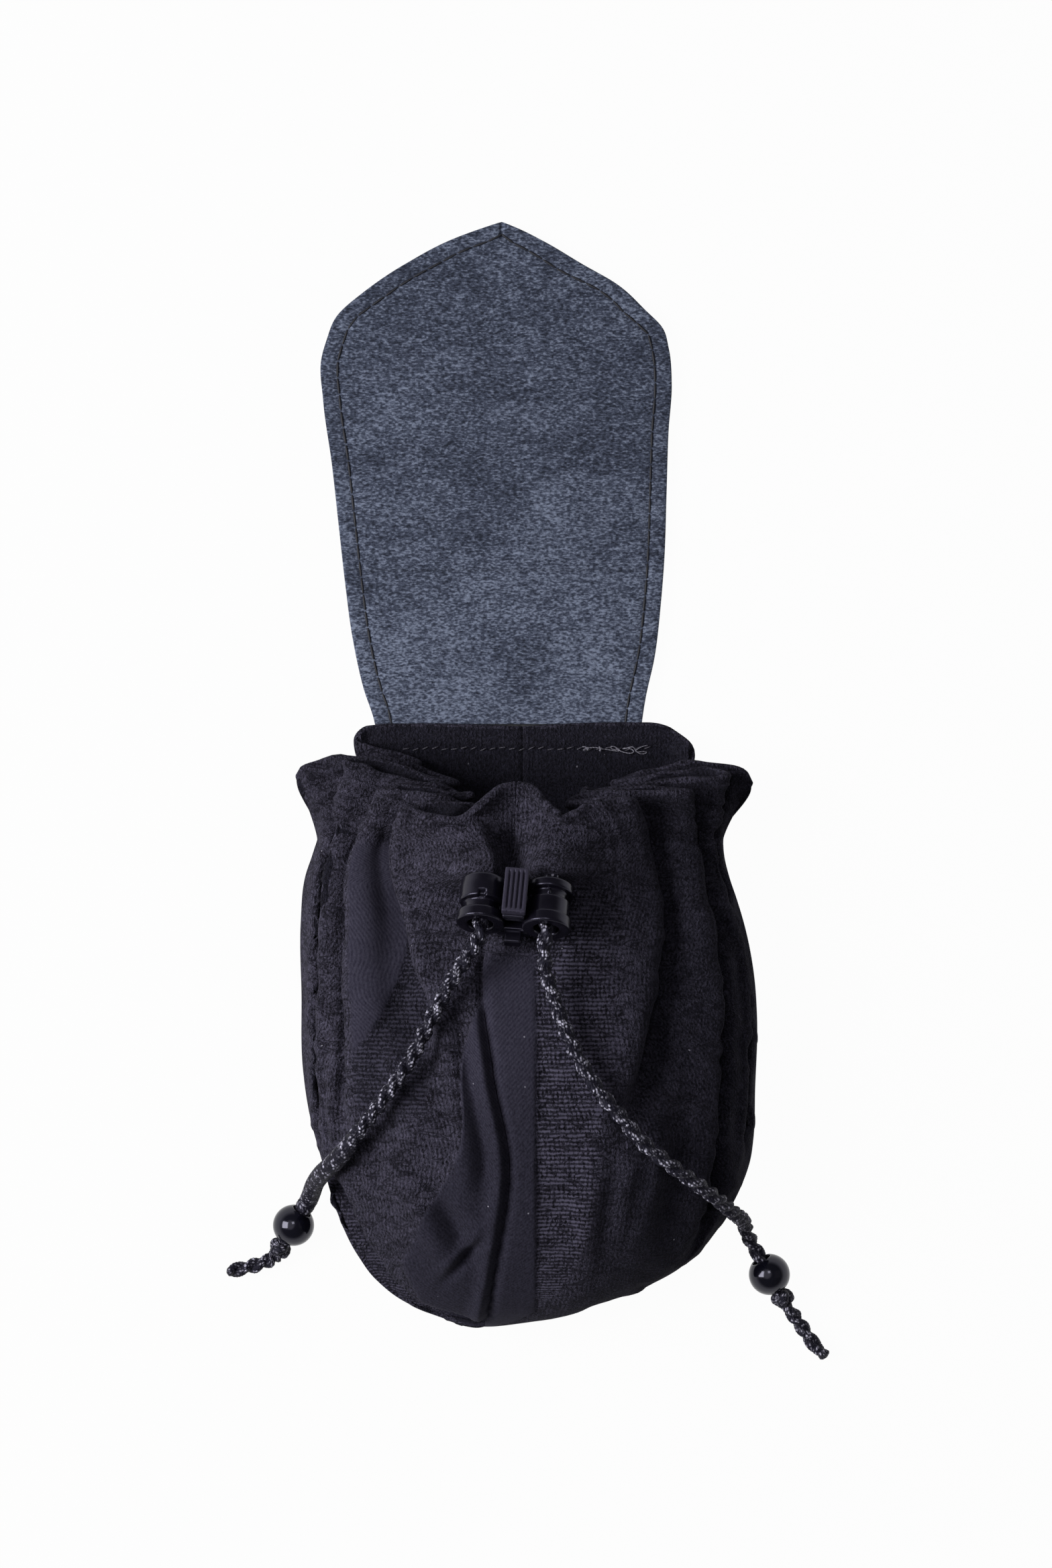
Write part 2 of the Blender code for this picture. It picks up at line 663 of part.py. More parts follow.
def flap_half_width(y):
    """Half the flap's width: a gentle swell to the shoulders, then a rounded run to the tip."""
    def bezier(t, a, b, c, d):
        return a * (1 - t) ** 3 + 3 * b * t * (1 - t) ** 2 + 3 * c * t ** 2 * (1 - t) + d * t ** 3
    if y <= FLAP_WIDEST_Y:
        share = (y - FLAP_HINGE_Y) / (FLAP_WIDEST_Y - FLAP_HINGE_Y)
        swell = math.sin(max(0.0, share) * math.pi / 2)
        return FLAP_ROOT_HALF_WIDTH + (FLAP_HALF_WIDTH - FLAP_ROOT_HALF_WIDTH) * swell
    low, high = 0.0, 1.0
    for _ in range(HALVINGS):
        middle = (low + high) / 2
        height = bezier(middle, FLAP_WIDEST_Y, FLAP_WIDEST_Y + FLAP_SHOULDER,
                        FLAP_TIP_Y - FLAP_TIP_RISE, FLAP_TIP_Y)
        low, high = (middle, high) if height < y else (low, middle)
    return bezier(low, FLAP_HALF_WIDTH, FLAP_HALF_WIDTH, FLAP_TIP_RUN, 0.0)


def add_leaf(name, start, end, bottom, thickness, steps, material, hinge):
    """A flat piece of the flap between two values of y, as a filled outline with a thickness."""
    def height(i):
        return start + (end - start) * math.sin(i / steps * math.pi / 2)
    heights = [height(i) for i in range(steps + 1)]
    left = [(-flap_half_width(y), y) for y in heights]
    right = [(flap_half_width(y), y) for y in reversed(heights)]
    if end >= FLAP_TIP_Y:
        left[-1:] = [(0.0, FLAP_TIP_Y)]
        right = right[1:]
    curve = bpy.data.curves.new(name, "CURVE")
    curve.dimensions = "2D"
    curve.fill_mode = "BOTH"
    curve.extrude = thickness / 2
    outline = left + right
    spline = curve.splines.new("POLY")
    spline.points.add(len(outline) - 1)
    for spot, (x, y) in zip(spline.points, outline):
        spot.co = (x, y, 0.0, 1.0)
    spline.use_cyclic_u = True
    leaf = add_part(name, curve, material)
    leaf.parent = hinge
    here = Vector((FLAP_X, 0.0, bottom + thickness / 2))
    leaf.location = here - hinge.location if hinge else here


def add_flap(leather, suede):
    """Root sewn under the back, then two leaves that fold over the mouth and the front."""
    suede_low = LEATHER + LAYER_GAP
    top = suede_low + SUEDE
    rim_fold = add_frame("flap_rim_fold", Matrix.Translation((FLAP_X, FLAP_HINGE_Y, LEATHER)))
    crease = add_frame("flap_crease_fold", Matrix.Translation((FLAP_X, FLAP_CREASE_Y, top)))
    gap = FOLD_GAP / 2
    root_start = FLAP_HINGE_Y - FLAP_SEWN_DEPTH
    add_leaf("flap_leather_root", root_start, FLAP_HINGE_Y - gap, 0.0, LEATHER, ROOT_STEPS, leather, None)
    neck_end, tip_start = FLAP_CREASE_Y - gap, FLAP_CREASE_Y + gap
    add_leaf("flap_leather_neck", FLAP_HINGE_Y + gap, neck_end, 0.0, LEATHER, NECK_STEPS, leather, rim_fold)
    add_leaf("flap_suede_neck", FLAP_HINGE_Y + SUEDE_SETBACK, neck_end, suede_low, SUEDE, NECK_STEPS,
             suede, rim_fold)
    add_leaf("flap_leather_tip", tip_start, FLAP_TIP_Y, 0.0, LEATHER, TIP_STEPS, leather, crease)
    add_leaf("flap_suede_tip", tip_start, FLAP_TIP_Y, suede_low, SUEDE, TIP_STEPS, suede, crease)


def barrel_profile(steps):
    """A barrel's half section: outer steps as (radius, upper end, lower end), with eased rims."""
    outer = []
    for radius, upper, lower in steps:
        ease = RING_BEVEL if radius > GROOVE_RADIUS else 0.0
        outer += [(radius - ease, upper), (radius, upper - ease)]
        outer += [(radius, lower + ease), (radius - ease, lower)]
    tidy = [outer[0]]
    for point in outer[1:]:
        if (Vector(point) - Vector(tidy[-1])).length > TINY:
            tidy.append(point)
    return [(0.0, BARREL_LENGTH / 2)] + tidy + [(0.0, -BARREL_LENGTH / 2)]


def barrel_mesh_object(name, steps, side, lock):
    """A turned barrel beside the lock's middle, its axis along the lock's Y."""
    barrel = add_cutter(name, turned_mesh(name, barrel_profile(steps), closed=False), lock)
    barrel.matrix_local = (Matrix.Translation((side * BARREL_OFFSET, 0, 0))
                           @ Matrix.Rotation(-math.pi / 2, 4, "X"))
    turn(barrel)
    return barrel


def stem_bottom():
    """The fingers at the foot of the stem sit just under the cords."""
    return cord_lift() - CORD_DIAMETER / 2 - GRIP_GAP - FINGER_HEIGHT


def well_floor():
    return stem_bottom() - BUTTON_TRAVEL - RUNNING_GAP


def add_lock(plastic, steel):
    """Body with two barrels and a well, a ribbed button with two fingers, and its spring."""
    lock = add_frame("lock_frame", lock_matrix())
    end = BARREL_LENGTH / 2
    half_groove = GROOVE_WIDTH / 2
    left_steps = ((RING_RADIUS, end, LEFT_GROOVE_Y + half_groove),
                  (GROOVE_RADIUS, LEFT_GROOVE_Y + half_groove, LEFT_GROOVE_Y - half_groove),
                  (RING_RADIUS, LEFT_GROOVE_Y - half_groove, -end))
    right_steps = ((RING_RADIUS, end, RIGHT_GROOVE_Y + half_groove),
                   (GROOVE_RADIUS, RIGHT_GROOVE_Y + half_groove, RIGHT_GROOVE_Y - half_groove),
                   (DRUM_RADIUS, RIGHT_GROOVE_Y - half_groove, RIGHT_LOWER_RING - end),
                   (RING_RADIUS, RIGHT_LOWER_RING - end, -end))
    floor = well_floor()
    back = min(-BRIDGE_BACK, floor - LOCK_FLOOR)
    bridge = box_mesh("lock_body", (-BRIDGE_HALF_WIDTH, BRIDGE_SETBACK - end, back),
                      (BRIDGE_HALF_WIDTH, end - BRIDGE_SETBACK, BRIDGE_TOP))
    body = add_part("lock_body", bridge, plastic, lock)
    boolean(body, barrel_mesh_object("left_barrel", left_steps, -1, lock), "UNION")
    boolean(body, barrel_mesh_object("right_barrel", right_steps, 1, lock), "UNION")
    web = box_mesh("web", (-WEB_HALF_WIDTH, -end - WEB_REACH, back + WEB_LIFT),
                   (WEB_HALF_WIDTH, WEB_REACH - end, back + WEB_HEIGHT))
    boolean(body, add_cutter("web", web, lock), "UNION")
    half_step = Matrix.Rotation(math.pi / ROUND_STEPS, 4, "Z")
    along = Matrix.Rotation(math.pi / 2, 4, "X") @ half_step
    for side, word in ((-1, "left"), (1, "right")):
        place = Matrix.Translation((side * BARREL_OFFSET, 0, 0)) @ along
        bore = rod_mesh("bore", BORE_RADIUS, 2 * BARREL_LENGTH, place)
        boolean(body, add_cutter(f"{word}_bore", bore, lock), "DIFFERENCE")
    well_width = STEM_HALF_WIDTH + RUNNING_GAP
    well_length = STEM_HALF_LENGTH + RUNNING_GAP
    well = box_mesh("well", (-well_width, -well_length, floor), (well_width, well_length, 2 * BUTTON_TOP))
    boolean(body, add_cutter("well", well, lock), "DIFFERENCE")

    head_low = BUTTON_TOP - BUTTON_HEAD
    stem = box_mesh("lock_button", (-STEM_HALF_WIDTH, -STEM_HALF_LENGTH, stem_bottom()),
                    (STEM_HALF_WIDTH, STEM_HALF_LENGTH, head_low + RIB_FRAME))
    button = add_part("lock_button", stem, plastic, lock)
    block_end = BUTTON_HALF_LENGTH - RIB_FRAME
    block = box_mesh("neck_block", (-STEM_HALF_WIDTH, -block_end, head_low - NECK_BLOCK),
                     (STEM_HALF_WIDTH, block_end, head_low + RIB_FRAME / 2))
    boolean(button, add_cutter("neck_block", block, lock), "UNION")
    head = box_mesh("head", (-BUTTON_HALF_WIDTH, -BUTTON_HALF_LENGTH, head_low),
                    (BUTTON_HALF_WIDTH, BUTTON_HALF_LENGTH, BUTTON_TOP))
    boolean(button, add_cutter("head", head, lock), "UNION")
    for side, groove_y, word in ((-1, LEFT_GROOVE_Y, "left"), (1, RIGHT_GROOVE_Y, "right")):
        spans = sorted((side * STEM_HALF_WIDTH / 2, side * (BARREL_OFFSET + FINGER_REACH)))
        finger = box_mesh("finger", (spans[0], groove_y - FINGER_WIDTH / 2, stem_bottom()),
                          (spans[1], groove_y + FINGER_WIDTH / 2, stem_bottom() + FINGER_HEIGHT))
        boolean(button, add_cutter(f"{word}_finger", finger, lock), "UNION")
        reach = side * (BARREL_OFFSET + FINGER_REACH + RUNNING_GAP)
        spans = sorted((side * STEM_HALF_WIDTH, reach))
        slot_half = FINGER_WIDTH / 2 + RUNNING_GAP
        slot_floor = stem_bottom() - BUTTON_TRAVEL - SLOT_GAP
        slot = box_mesh("slot", (spans[0], groove_y - slot_half, slot_floor),
                        (spans[1], groove_y + slot_half, stem_bottom() + FINGER_HEIGHT + RUNNING_GAP))
        boolean(body, add_cutter(f"{word}_slot", slot, lock), "DIFFERENCE")
    usable = 2 * (BUTTON_HALF_WIDTH - RIB_FRAME)
    pitch = usable / RIB_GROOVES
    for i in range(RIB_GROOVES):
        middle = -usable / 2 + pitch * (i + 0.5)
        rib = box_mesh("rib", (middle - RIB_GROOVE_WIDTH / 2, -BUTTON_HALF_LENGTH + 2 * RIB_FRAME,
                               BUTTON_TOP - RIB_GROOVE_DEPTH),
                       (middle + RIB_GROOVE_WIDTH / 2, BUTTON_HALF_LENGTH - 2 * RIB_FRAME,
                        BUTTON_TOP + RIB_GROOVE_DEPTH))
        boolean(button, add_cutter(f"rib_groove_{i + 1}", rib, lock), "DIFFERENCE")
    bore_radius = SPRING_RADIUS + SPRING_WIRE / 2 + SPRING_BORE_CLEARANCE
    depth = SPRING_ROOF - stem_bottom()
    hollow = rod_mesh("spring_bore", bore_radius, 2 * depth, Matrix.Translation((0, 0, stem_bottom())))
    boolean(button, add_cutter("spring_bore", hollow, lock), "DIFFERENCE")

    low = floor + SPRING_WIRE / 2 + RUNNING_GAP
    high = SPRING_ROOF - SPRING_WIRE / 2 - RUNNING_GAP
    steps = SPRING_TURNS * COIL_STEPS
    coil = []
    for i in range(steps + 1):
        angle = 2 * math.pi * i / COIL_STEPS
        coil.append(Vector((SPRING_RADIUS * math.cos(angle), SPRING_RADIUS * math.sin(angle),
                            low + (high - low) * i / steps)))
    add_tube("lock_spring", coil, SPRING_WIRE, steel, lock, resolution=1)


clear_scene()
PARTS = new_collection("drawstring_dice_bag")
CUTTERS = new_collection("cutters")

black_velvet = finish_material("black_velvet", "17161b", 0.85)
casing_cotton = finish_material("black_cotton_tape", "141416", 0.9)
twisted_cord = finish_material("twisted_cord", "3a3b3f", 0.75)
black_leather = finish_material("black_leather", "1d1d20", 0.55)
blue_suede = finish_material("blue_grey_suede", "55606c", 0.95)
black_plastic = finish_material("black_acetal", "121214", 0.4)
spring_steel = finish_material("spring_steel", "9a9a98", 0.35, 1.0)
black_resin = finish_material("black_resin", "0b0b0d", 0.12)

add_bag(black_velvet)
add_casing(casing_cotton)
add_drawstring(twisted_cord)
add_free_cord("left", -1, LEFT_ROUTE, LEFT_BEAD, LEFT_BEAD_AXIS, LEFT_BEAD_RUN, LEFT_TAIL,
              twisted_cord)
add_free_cord("right", 1, RIGHT_ROUTE, RIGHT_BEAD, RIGHT_BEAD_AXIS, RIGHT_BEAD_RUN, RIGHT_TAIL,
              twisted_cord)
add_bead("left", LEFT_BEAD, LEFT_BEAD_AXIS, black_resin, twisted_cord)
add_bead("right", RIGHT_BEAD, RIGHT_BEAD_AXIS, black_resin, twisted_cord)
add_flap(black_leather, blue_suede)
add_lock(black_plastic, spring_steel)
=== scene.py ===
import math

import bmesh
import bpy
import numpy as np
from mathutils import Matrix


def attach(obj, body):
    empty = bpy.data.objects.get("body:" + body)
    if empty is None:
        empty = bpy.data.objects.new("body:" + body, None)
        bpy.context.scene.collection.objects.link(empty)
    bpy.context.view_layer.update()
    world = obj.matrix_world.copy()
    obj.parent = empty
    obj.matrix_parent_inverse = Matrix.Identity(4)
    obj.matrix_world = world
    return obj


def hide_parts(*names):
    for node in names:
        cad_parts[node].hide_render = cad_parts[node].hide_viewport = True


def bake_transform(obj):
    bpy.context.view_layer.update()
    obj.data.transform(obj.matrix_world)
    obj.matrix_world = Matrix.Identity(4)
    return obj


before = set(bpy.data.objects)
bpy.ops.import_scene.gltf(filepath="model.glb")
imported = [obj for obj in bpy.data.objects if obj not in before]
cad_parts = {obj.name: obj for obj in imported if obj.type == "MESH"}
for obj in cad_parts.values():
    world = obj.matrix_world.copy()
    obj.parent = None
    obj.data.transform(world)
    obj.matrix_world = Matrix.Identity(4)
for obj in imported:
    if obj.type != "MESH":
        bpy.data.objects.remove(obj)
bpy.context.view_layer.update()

bl_info = {
    "name": "Drawstring dice bag",
    "version": (1, 0, 0),
    "blender": (4, 5, 0),
    "location": "View3D > Sidebar > Dice bag",
    "description": "Cloth, cords, beads, cord lock and flap of a drawstring dice bag",
    "category": "Object",
}

MM = 0.001
TAU = 2 * math.pi

# Camera straight above the bag; the picture is 1568 by 2338
CAMERA_PLACE = (-0.00068, 0.06103, 1.1)
SENSOR_HEIGHT = 36.0
VIEW_HEIGHT = 0.3975

# Lamps, in metres: name, place and width, all turned to one point; and the floor, in millimetres
LAMPS = (("key", (-0.8, 0.06, 0.72), 0.6), ("fill", (0.8, 0.05, 0.75), 0.7), ("top", (-0.05, 0.4, 1.3), 0.3))
LAMP_AIM = (0.0, 0.03, 0.02)
FLOOR_REACH, FLOOR_Z = 3000.0, -0.6

# The bag, in millimetres: outline of the left and right side, and the front's centre seam, as (y, x)
LEFT_OUTLINE = ((67, -58.4), (62, -57.6), (56, -55.4), (50, -52.8), (44, -54.2), (38, -56.2),
                (26, -57.4), (8, -57.2), (-10, -56.9), (-22, -55.2), (-34, -52.0), (-46, -48.5), (-58, -42.8),
                (-64, -38.2), (-70, -29.9), (-73, -22.8), (-74.6, -17.5), (-75.4, -14.0))
RIGHT_OUTLINE = ((67, 56.0), (62, 55.0), (56, 52.6), (50, 49.4), (44, 49.1), (38, 50.4), (32, 52.4),
                 (26, 54.2), (14, 56.6), (2, 57.5), (-16, 57.0), (-28, 56.6), (-34, 55.7), (-40, 53.6),
                 (-46, 50.6), (-52, 46.9), (-58, 41.5), (-64, 32.6), (-70, 17.0), (-73, 6.0), (-74.6, -3.5),
                 (-75.4, -9.0))
CENTRE_SEAM = ((61, -3.2), (46, -3.5), (35, -6.0), (22, -10.4), (-9, -8.8), (-31, -4.8), (-58, -8.0),
               (-75.4, -11.0))
NECK_Y, FOOT_Y, BELLY_Y = 47.0, -75.4, -18.0
SEAM_Z, NECK_Z, BELLY_Z, LIP_Z = 7.5, 33.0, 46.0, 41.0
SIDE_POWER, CROWN_POWER, FOOT_POWER = 0.83, 0.9, 2.4

# How the front's columns lie: shares of the way from the seam to the first fold, and steps between lines
DOME_SHARES = (0.0, 0.03, 0.09, 0.2, 0.34, 0.48, 0.62, 0.76, 0.9)
DOME_STEPS, FOLD_STEPS = (3, 4, 7, 8, 8, 8, 8, 7, 4), (3, 4, 4, 5, 4, 4, 5, 5, 5, 5)
# Grid places whose normals tell which way a panel faces
FRONT_PROBE, BACK_PROBE = (20, 60), (12, 80)

# Each fold from the middle outwards: length that it dies out over, slant in degrees, shares of roll and tuck
FOLD_RUN, FOLD_SLANT = (40.0, 40.0, 52.0), (14, 12, 26)
FOLD_ROLL, FOLD_TUCK = (1, 0.75, 0.55), (1, 0.6, 0.4)

# Each fold's crest as (y, x), where it runs out below, and at the lip its tip and its inner end as (x, y, z)
LEFT_FOLDS = (
    (((53, -33), (46, -34.6), (36.6, -33.8), (28, -31.7), (17.6, -29.1), (7, -25.8), (-6, -23.5)), -16,
     (-33, 53.4, 34.9), (-14, 56.0, 29.6)),
    (((60, -38.9), (46, -43.5), (33, -45.1), (17, -45.8), (-10, -45.1), (-24, -44.2)), -34,
     (-38.6, 58.6, 28.5), (-14.5, 58.6, 23.5)),
    (((66, -46.8), (49, -48.6), (38, -52), (21, -53.1), (-13, -53.4), (-36, -50.0)), -46,
     (-46.2, 65.0, 20.0), (-19, 62.6, 15.0)),
)
RIGHT_FOLDS = (
    (((57, 26.5), (49, 29.8), (36.6, 32.5), (22, 33), (7, 30.9), (-9, 27), (-20, 23.0)), -30,
     (26.8, 56.2, 35.6), (11, 57.4, 30.4)),
    (((59, 41.1), (50, 41.9), (30, 45.0), (13, 47.4), (-4, 48.0), (-15, 47.6), (-31, 45.4), (-54, 40.0)), -62,
     (41.6, 57.8, 28.5), (14, 59.4, 23.5)),
    (((64, 49.8), (50, 46.6), (38, 48.6), (30, 50.4), (17, 54.4), (0, 55.4), (-26, 54.6)), -44,
     (50.0, 62.0, 20.0), (22, 62.6, 15.0)),
)
# The lip from fold to seam as (x, y), and the ruffle outside the folds as (x, y, z)
LEFT_LIP = ((-33, 53.3), (-25, 52.8), (-16, 52.8), (-10, 56.2), (-6, 59.2), (-3.2, 60.0))
RIGHT_LIP = ((-3.2, 60.0), (-0.6, 59.0), (3, 55.6), (8, 52.4), (15, 55.4), (22, 56.1), (26.5, 57.0))
LEFT_RUFFLE = ((-40.5, 67.8, 12.8), (-51.5, 66.8, 12.2), (-56.9, 64.8, 11.2), (-58.4, 62.2, 9.8))
RIGHT_RUFFLE = ((38.5, 65.6, 12.8), (49.0, 65.2, 12.2), (54.4, 63.2, 11.2), (56.0, 60.4, 9.8))

# Edges of the left panel's twill patches as (y, x), and the share of plush on the turned hem
LENS_EDGE = ((61, -4), (10, -11), (-4, -16), (-29, -17), (-46, -26), (-55, -30), (-63, -36), (-75, -38))
LEAF_EDGE = ((-7.5, -45.2), (-1.5, -39.9), (8.2, -34.2), (16.1, -30.8), (21.8, -29.7), (40, -27))
HEM_PLUSH = 0.15

# Ridges along the left of the seam: height, distance, width, top y and fade, foot y and fade
SEAM_RIDGES = ((1.5, 2.4, 2.0, 14, 20, -100, 16), (-2.0, 6.0, 2.2, 12, 16, -46, 16),
               (0.9, 11, 2.4, 4, 12, -46, 14))
# Creases of the right panel: height, x, lean, width, middle y and length
RIGHT_CREASES = ((-1.2, 20, 0.12, 2.2, -44, 13), (0.9, 15, 0.1, 3.0, -42, 16), (-0.9, 27, 0.2, 2.4, -40, 12))
# Height of the pucker above each strand of the loop, as (y, z)
PUCKER_HEIGHT = ((34.4, 36.4), (37.2, 41.2), (39.6, 46.4), (42.5, 45.2), (47.0, 41.4), (54.0, 40.5))
# The trough that a cord presses into the cloth
DENT_DEPTH, DENT_REACH, TROUGH_RADIUS = 2.0, 5.0, 3.2

# The back's rim, from its seam outwards, as (x, y, z of the underside)
LEFT_RIM = ((-1.5, 74.6, 1.6), (-15, 75.1, 1.6), (-30, 75.3, 1.6), (-38.8, 75.0, 1.7), (-43.0, 73.9, 2.8),
            (-44.2, 71.8, 4.4), (-40.5, 70.0, 5.4), (-31, 67.4, 6.2), (-28.5, 66.2, 7.2), (-36, 66.0, 8.0),
            (-47.5, 65.8, 8.2), (-58.3, 62.0, 8.2))
RIGHT_RIM = ((-1.5, 74.6, 1.6), (13, 75.4, 1.6), (26, 75.6, 1.6), (33.0, 75.3, 1.7), (38.4, 72.8, 2.6),
             (42.0, 68.4, 4.4), (39.0, 64.8, 5.6), (35.0, 62.8, 6.4), (36.5, 62.8, 7.2), (42, 63.8, 7.9),
             (49, 63.4, 8.2), (55.9, 60.2, 8.2))
FLAP_ROOT_Y, ROOT_RAMP, ROOT_LIFT = 66.0, 7.0, 1.55
BACK_FRILL_Y = 48.0
# The rim's points along the back's section: up to 1 on the flat, from 1 to 2 up the side
BACK_PLACES = (0.0, 0.28, 0.56, 0.78, 0.94, 1.08, 1.2, 1.32, 1.45, 1.6, 1.78, 2.0)

# The lock: its place and turn, its barrels' outlines as (radius, y), and its bars' outlines as (x, z)
LOCK_CENTRE = np.array((-3.3, 31.5, 46.87))
LOCK_TILT, LOCK_YAW = math.radians(27), math.radians(-5)
BARREL_X, BORE = 8.0, 3.1
LEFT_BARREL = ((BORE, 6.0), (5.5, 6.0), (5.7, 3.6), (5.7, -0.4), (4.3, -0.4), (4.3, -2.9), (5.9, -2.9),
               (5.9, -5.8), (BORE, -5.8))
RIGHT_BARREL = ((BORE, 6.0), (5.8, 6.0), (5.8, 3.6), (4.3, 3.6), (4.3, 1.6), (5.2, 1.6), (5.2, -2.9),
                (5.9, -2.9), (5.9, -5.8), (BORE, -5.8))
BRIDGE = ((-4.2, -6.1), (4.2, -6.1), (4.2, 0.5), (3.0, 0.5), (3.0, -1.7), (-3.0, -1.7), (-3.0, 0.5),
          (-4.2, 0.5))
WEB = ((-2.1, -5.7), (2.1, -5.7), (2.1, -2.7), (-2.1, -2.7))
STEM = ((-2.7, 1.0), (2.7, 1.0), (2.7, 5.4), (-2.7, 5.4))

# Cord routes, in metres, as the solids have them
LEFT_ROUTE = (
    (-0.0141, 0.0204, 0.0508), (-0.0165, 0.0167, 0.0493), (-0.0189, 0.0130, 0.0478),
    (-0.0219, 0.0074, 0.0466), (-0.0248, 0.0016, 0.0461), (-0.0285, -0.0056, 0.0459),
    (-0.0330, -0.0124, 0.0450), (-0.0375, -0.0187, 0.0430), (-0.0418, -0.0243, 0.0399),
    (-0.0458, -0.0297, 0.0356), (-0.0488, -0.0330, 0.0311), (-0.0508, -0.0350, 0.0269),
    (-0.0521, -0.0367, 0.0221), (-0.0532, -0.0384, 0.0171), (-0.0540, -0.0402, 0.0126),
    (-0.0547, -0.0421, 0.0090))
LEFT_TAIL = ((-0.0674, -0.0602, 0.0024), (-0.0705, -0.0611, 0.0020), (-0.0735, -0.0618, 0.0020),
             (-0.0764, -0.0626, 0.0020))
RIGHT_ROUTE = (
    (0.0039, 0.0185, 0.0516), (0.0046, 0.0142, 0.0500), (0.0061, 0.0094, 0.0488), (0.0081, 0.0035, 0.0484),
    (0.0123, -0.0058, 0.0488), (0.0166, -0.0128, 0.0487), (0.0214, -0.0186, 0.0480),
    (0.0280, -0.0263, 0.0465), (0.0351, -0.0322, 0.0438), (0.0423, -0.0376, 0.0390),
    (0.0458, -0.0405, 0.0353), (0.0492, -0.0437, 0.0295), (0.0516, -0.0460, 0.0235),
    (0.0532, -0.0476, 0.0174), (0.0540, -0.0490, 0.0126), (0.0547, -0.0512, 0.0090))
RIGHT_TAIL = ((0.0677, -0.0742, 0.0024), (0.0702, -0.0780, 0.0020), (0.0727, -0.0814, 0.0020),
              (0.0754, -0.0840, 0.0020))
LEFT_BEAD, LEFT_BEAD_AXIS = np.array((-59.3, -50.3, 5.2)), np.array((0.501104, 0.841854, 0.200441))
RIGHT_BEAD, RIGHT_BEAD_AXIS = np.array((60.7, -62.7, 5.2)), np.array((-0.47859, 0.867011, 0.138722))
LEFT_BEAD_RUN, RIGHT_BEAD_RUN = 2.5, 5.0
BEAD_RADIUS, BEAD_BORE = 5.2, 2.45
KNOT_HALF, KNOT_GAP, KNOT_SIZE, KNOT_WIRE = 2.2, 0.3, 0.6, 1.25
# Between these lengths the left end is one plain tube
LEFT_PLAIN = (64.0, 117.0)
# Height of the cord in its barrel, pitch of its knit, millimetres round it per radian, steps per route point
CORD_LIFT, KNIT_PITCH, CORD_ROUND, ROUTE_STEPS = 0.9, 1.5, 1.85, 14
# The loop's oval round the neck, open at the top
RING_HALF_WIDTH, RING_HALF_HEIGHT, RING_Z, RING_OPEN = 27.0, 12.5, 16.35, math.radians(28)
BUTTONHOLE_Y = 45.5

# The flap's edges as (y, x); its leather lies on the table with the suede on top
FLAP_LEFT = ((67, -39.0), (76, -38.9), (85.3, -41.8), (98.8, -44.7), (111.5, -46.4), (126.7, -48.1),
             (142, -49.8), (158, -52.0), (169, -52.4), (173.2, -51.2), (180, -48.1), (185.1, -42.3),
             (192.6, -31.3), (199.9, -16.8), (202.4, -9.6), (203.3, -6.8))
FLAP_RIGHT = ((67, 28.2), (76, 28.6), (82.8, 29.6), (92.8, 31.8), (107.3, 33.5), (117.5, 34.3), (135, 34.9),
              (150.4, 35.4), (162.2, 36.2), (171.5, 35.4), (176.6, 33.8), (180.9, 29.6), (187.7, 22.1),
              (192.6, 13.6), (198.6, 3.4), (201.6, -2.6), (203.3, -6.8))
FLAP_SPLIT_Y, FLAP_TIP_X, FLAP_TIP_Y = 115.0, -6.8, 203.3
LEATHER_Z, SUEDE_Z = (0.0, 1.2), (1.5, 2.3)


class ClothSettings(bpy.types.PropertyGroup):
    """Sizes and colours of the bag's cloth."""
    thickness: bpy.props.FloatProperty(
        name="Thickness", description="Thickness of the cloth", default=0.0013, subtype="DISTANCE")
    hem: bpy.props.FloatProperty(
        name="Hem", description="Thickness of the turned hem at the mouth",
        default=0.0021, subtype="DISTANCE")
    fold_roll: bpy.props.FloatProperty(
        name="Fold roll", description="Radius of the roll at each fold's crest",
        default=0.0028, subtype="DISTANCE")
    fold_tuck: bpy.props.FloatProperty(
        name="Fold tuck", description="How far each fold tucks under the next",
        default=0.0068, subtype="DISTANCE")
    rib_pitch: bpy.props.FloatProperty(
        name="Rib pitch", description="Spacing of the plush ribs, drawn coarse enough to show",
        default=0.0011, subtype="DISTANCE")
    twill_pitch: bpy.props.FloatProperty(
        name="Twill pitch", description="Spacing of the twill lines, drawn coarse enough to show",
        default=0.0008, subtype="DISTANCE")
    pile: bpy.props.StringProperty(
        name="Pile", description="Colour of the raised ribs, sRGB hex", default="545163")
    ground: bpy.props.StringProperty(
        name="Ground", description="Colour between the ribs, sRGB hex", default="09080f")
    twill: bpy.props.StringProperty(
        name="Twill", description="Colour of the plain woven patches, sRGB hex", default="3e3c4a")
    # Also the tone of the painted shade on the outer face
    lining_and_shade: bpy.props.StringProperty(
        name="Lining", description="Colour of the inner face, sRGB hex", default="262531")


class FlapSettings(bpy.types.PropertyGroup):
    """Sizes and colours of the flap."""
    stitch: bpy.props.FloatProperty(
        name="Stitch", description="Length of one stitch", default=0.0042, subtype="DISTANCE")
    inset: bpy.props.FloatProperty(
        name="Stitch inset", description="Distance of the stitches from the edge",
        default=0.0042, subtype="DISTANCE")
    suede: bpy.props.StringProperty(
        name="Suede", description="Middle colour of the suede, sRGB hex", default="454b5d")
    suede_pale: bpy.props.StringProperty(
        name="Suede nap", description="Colour where the nap is brushed up, sRGB hex", default="828ba1")
    suede_deep: bpy.props.StringProperty(
        name="Suede deep", description="Colour where the nap lies down, sRGB hex", default="252935")
    leather: bpy.props.StringProperty(
        name="Leather", description="Colour of the grain side, sRGB hex", default="1d1d21")


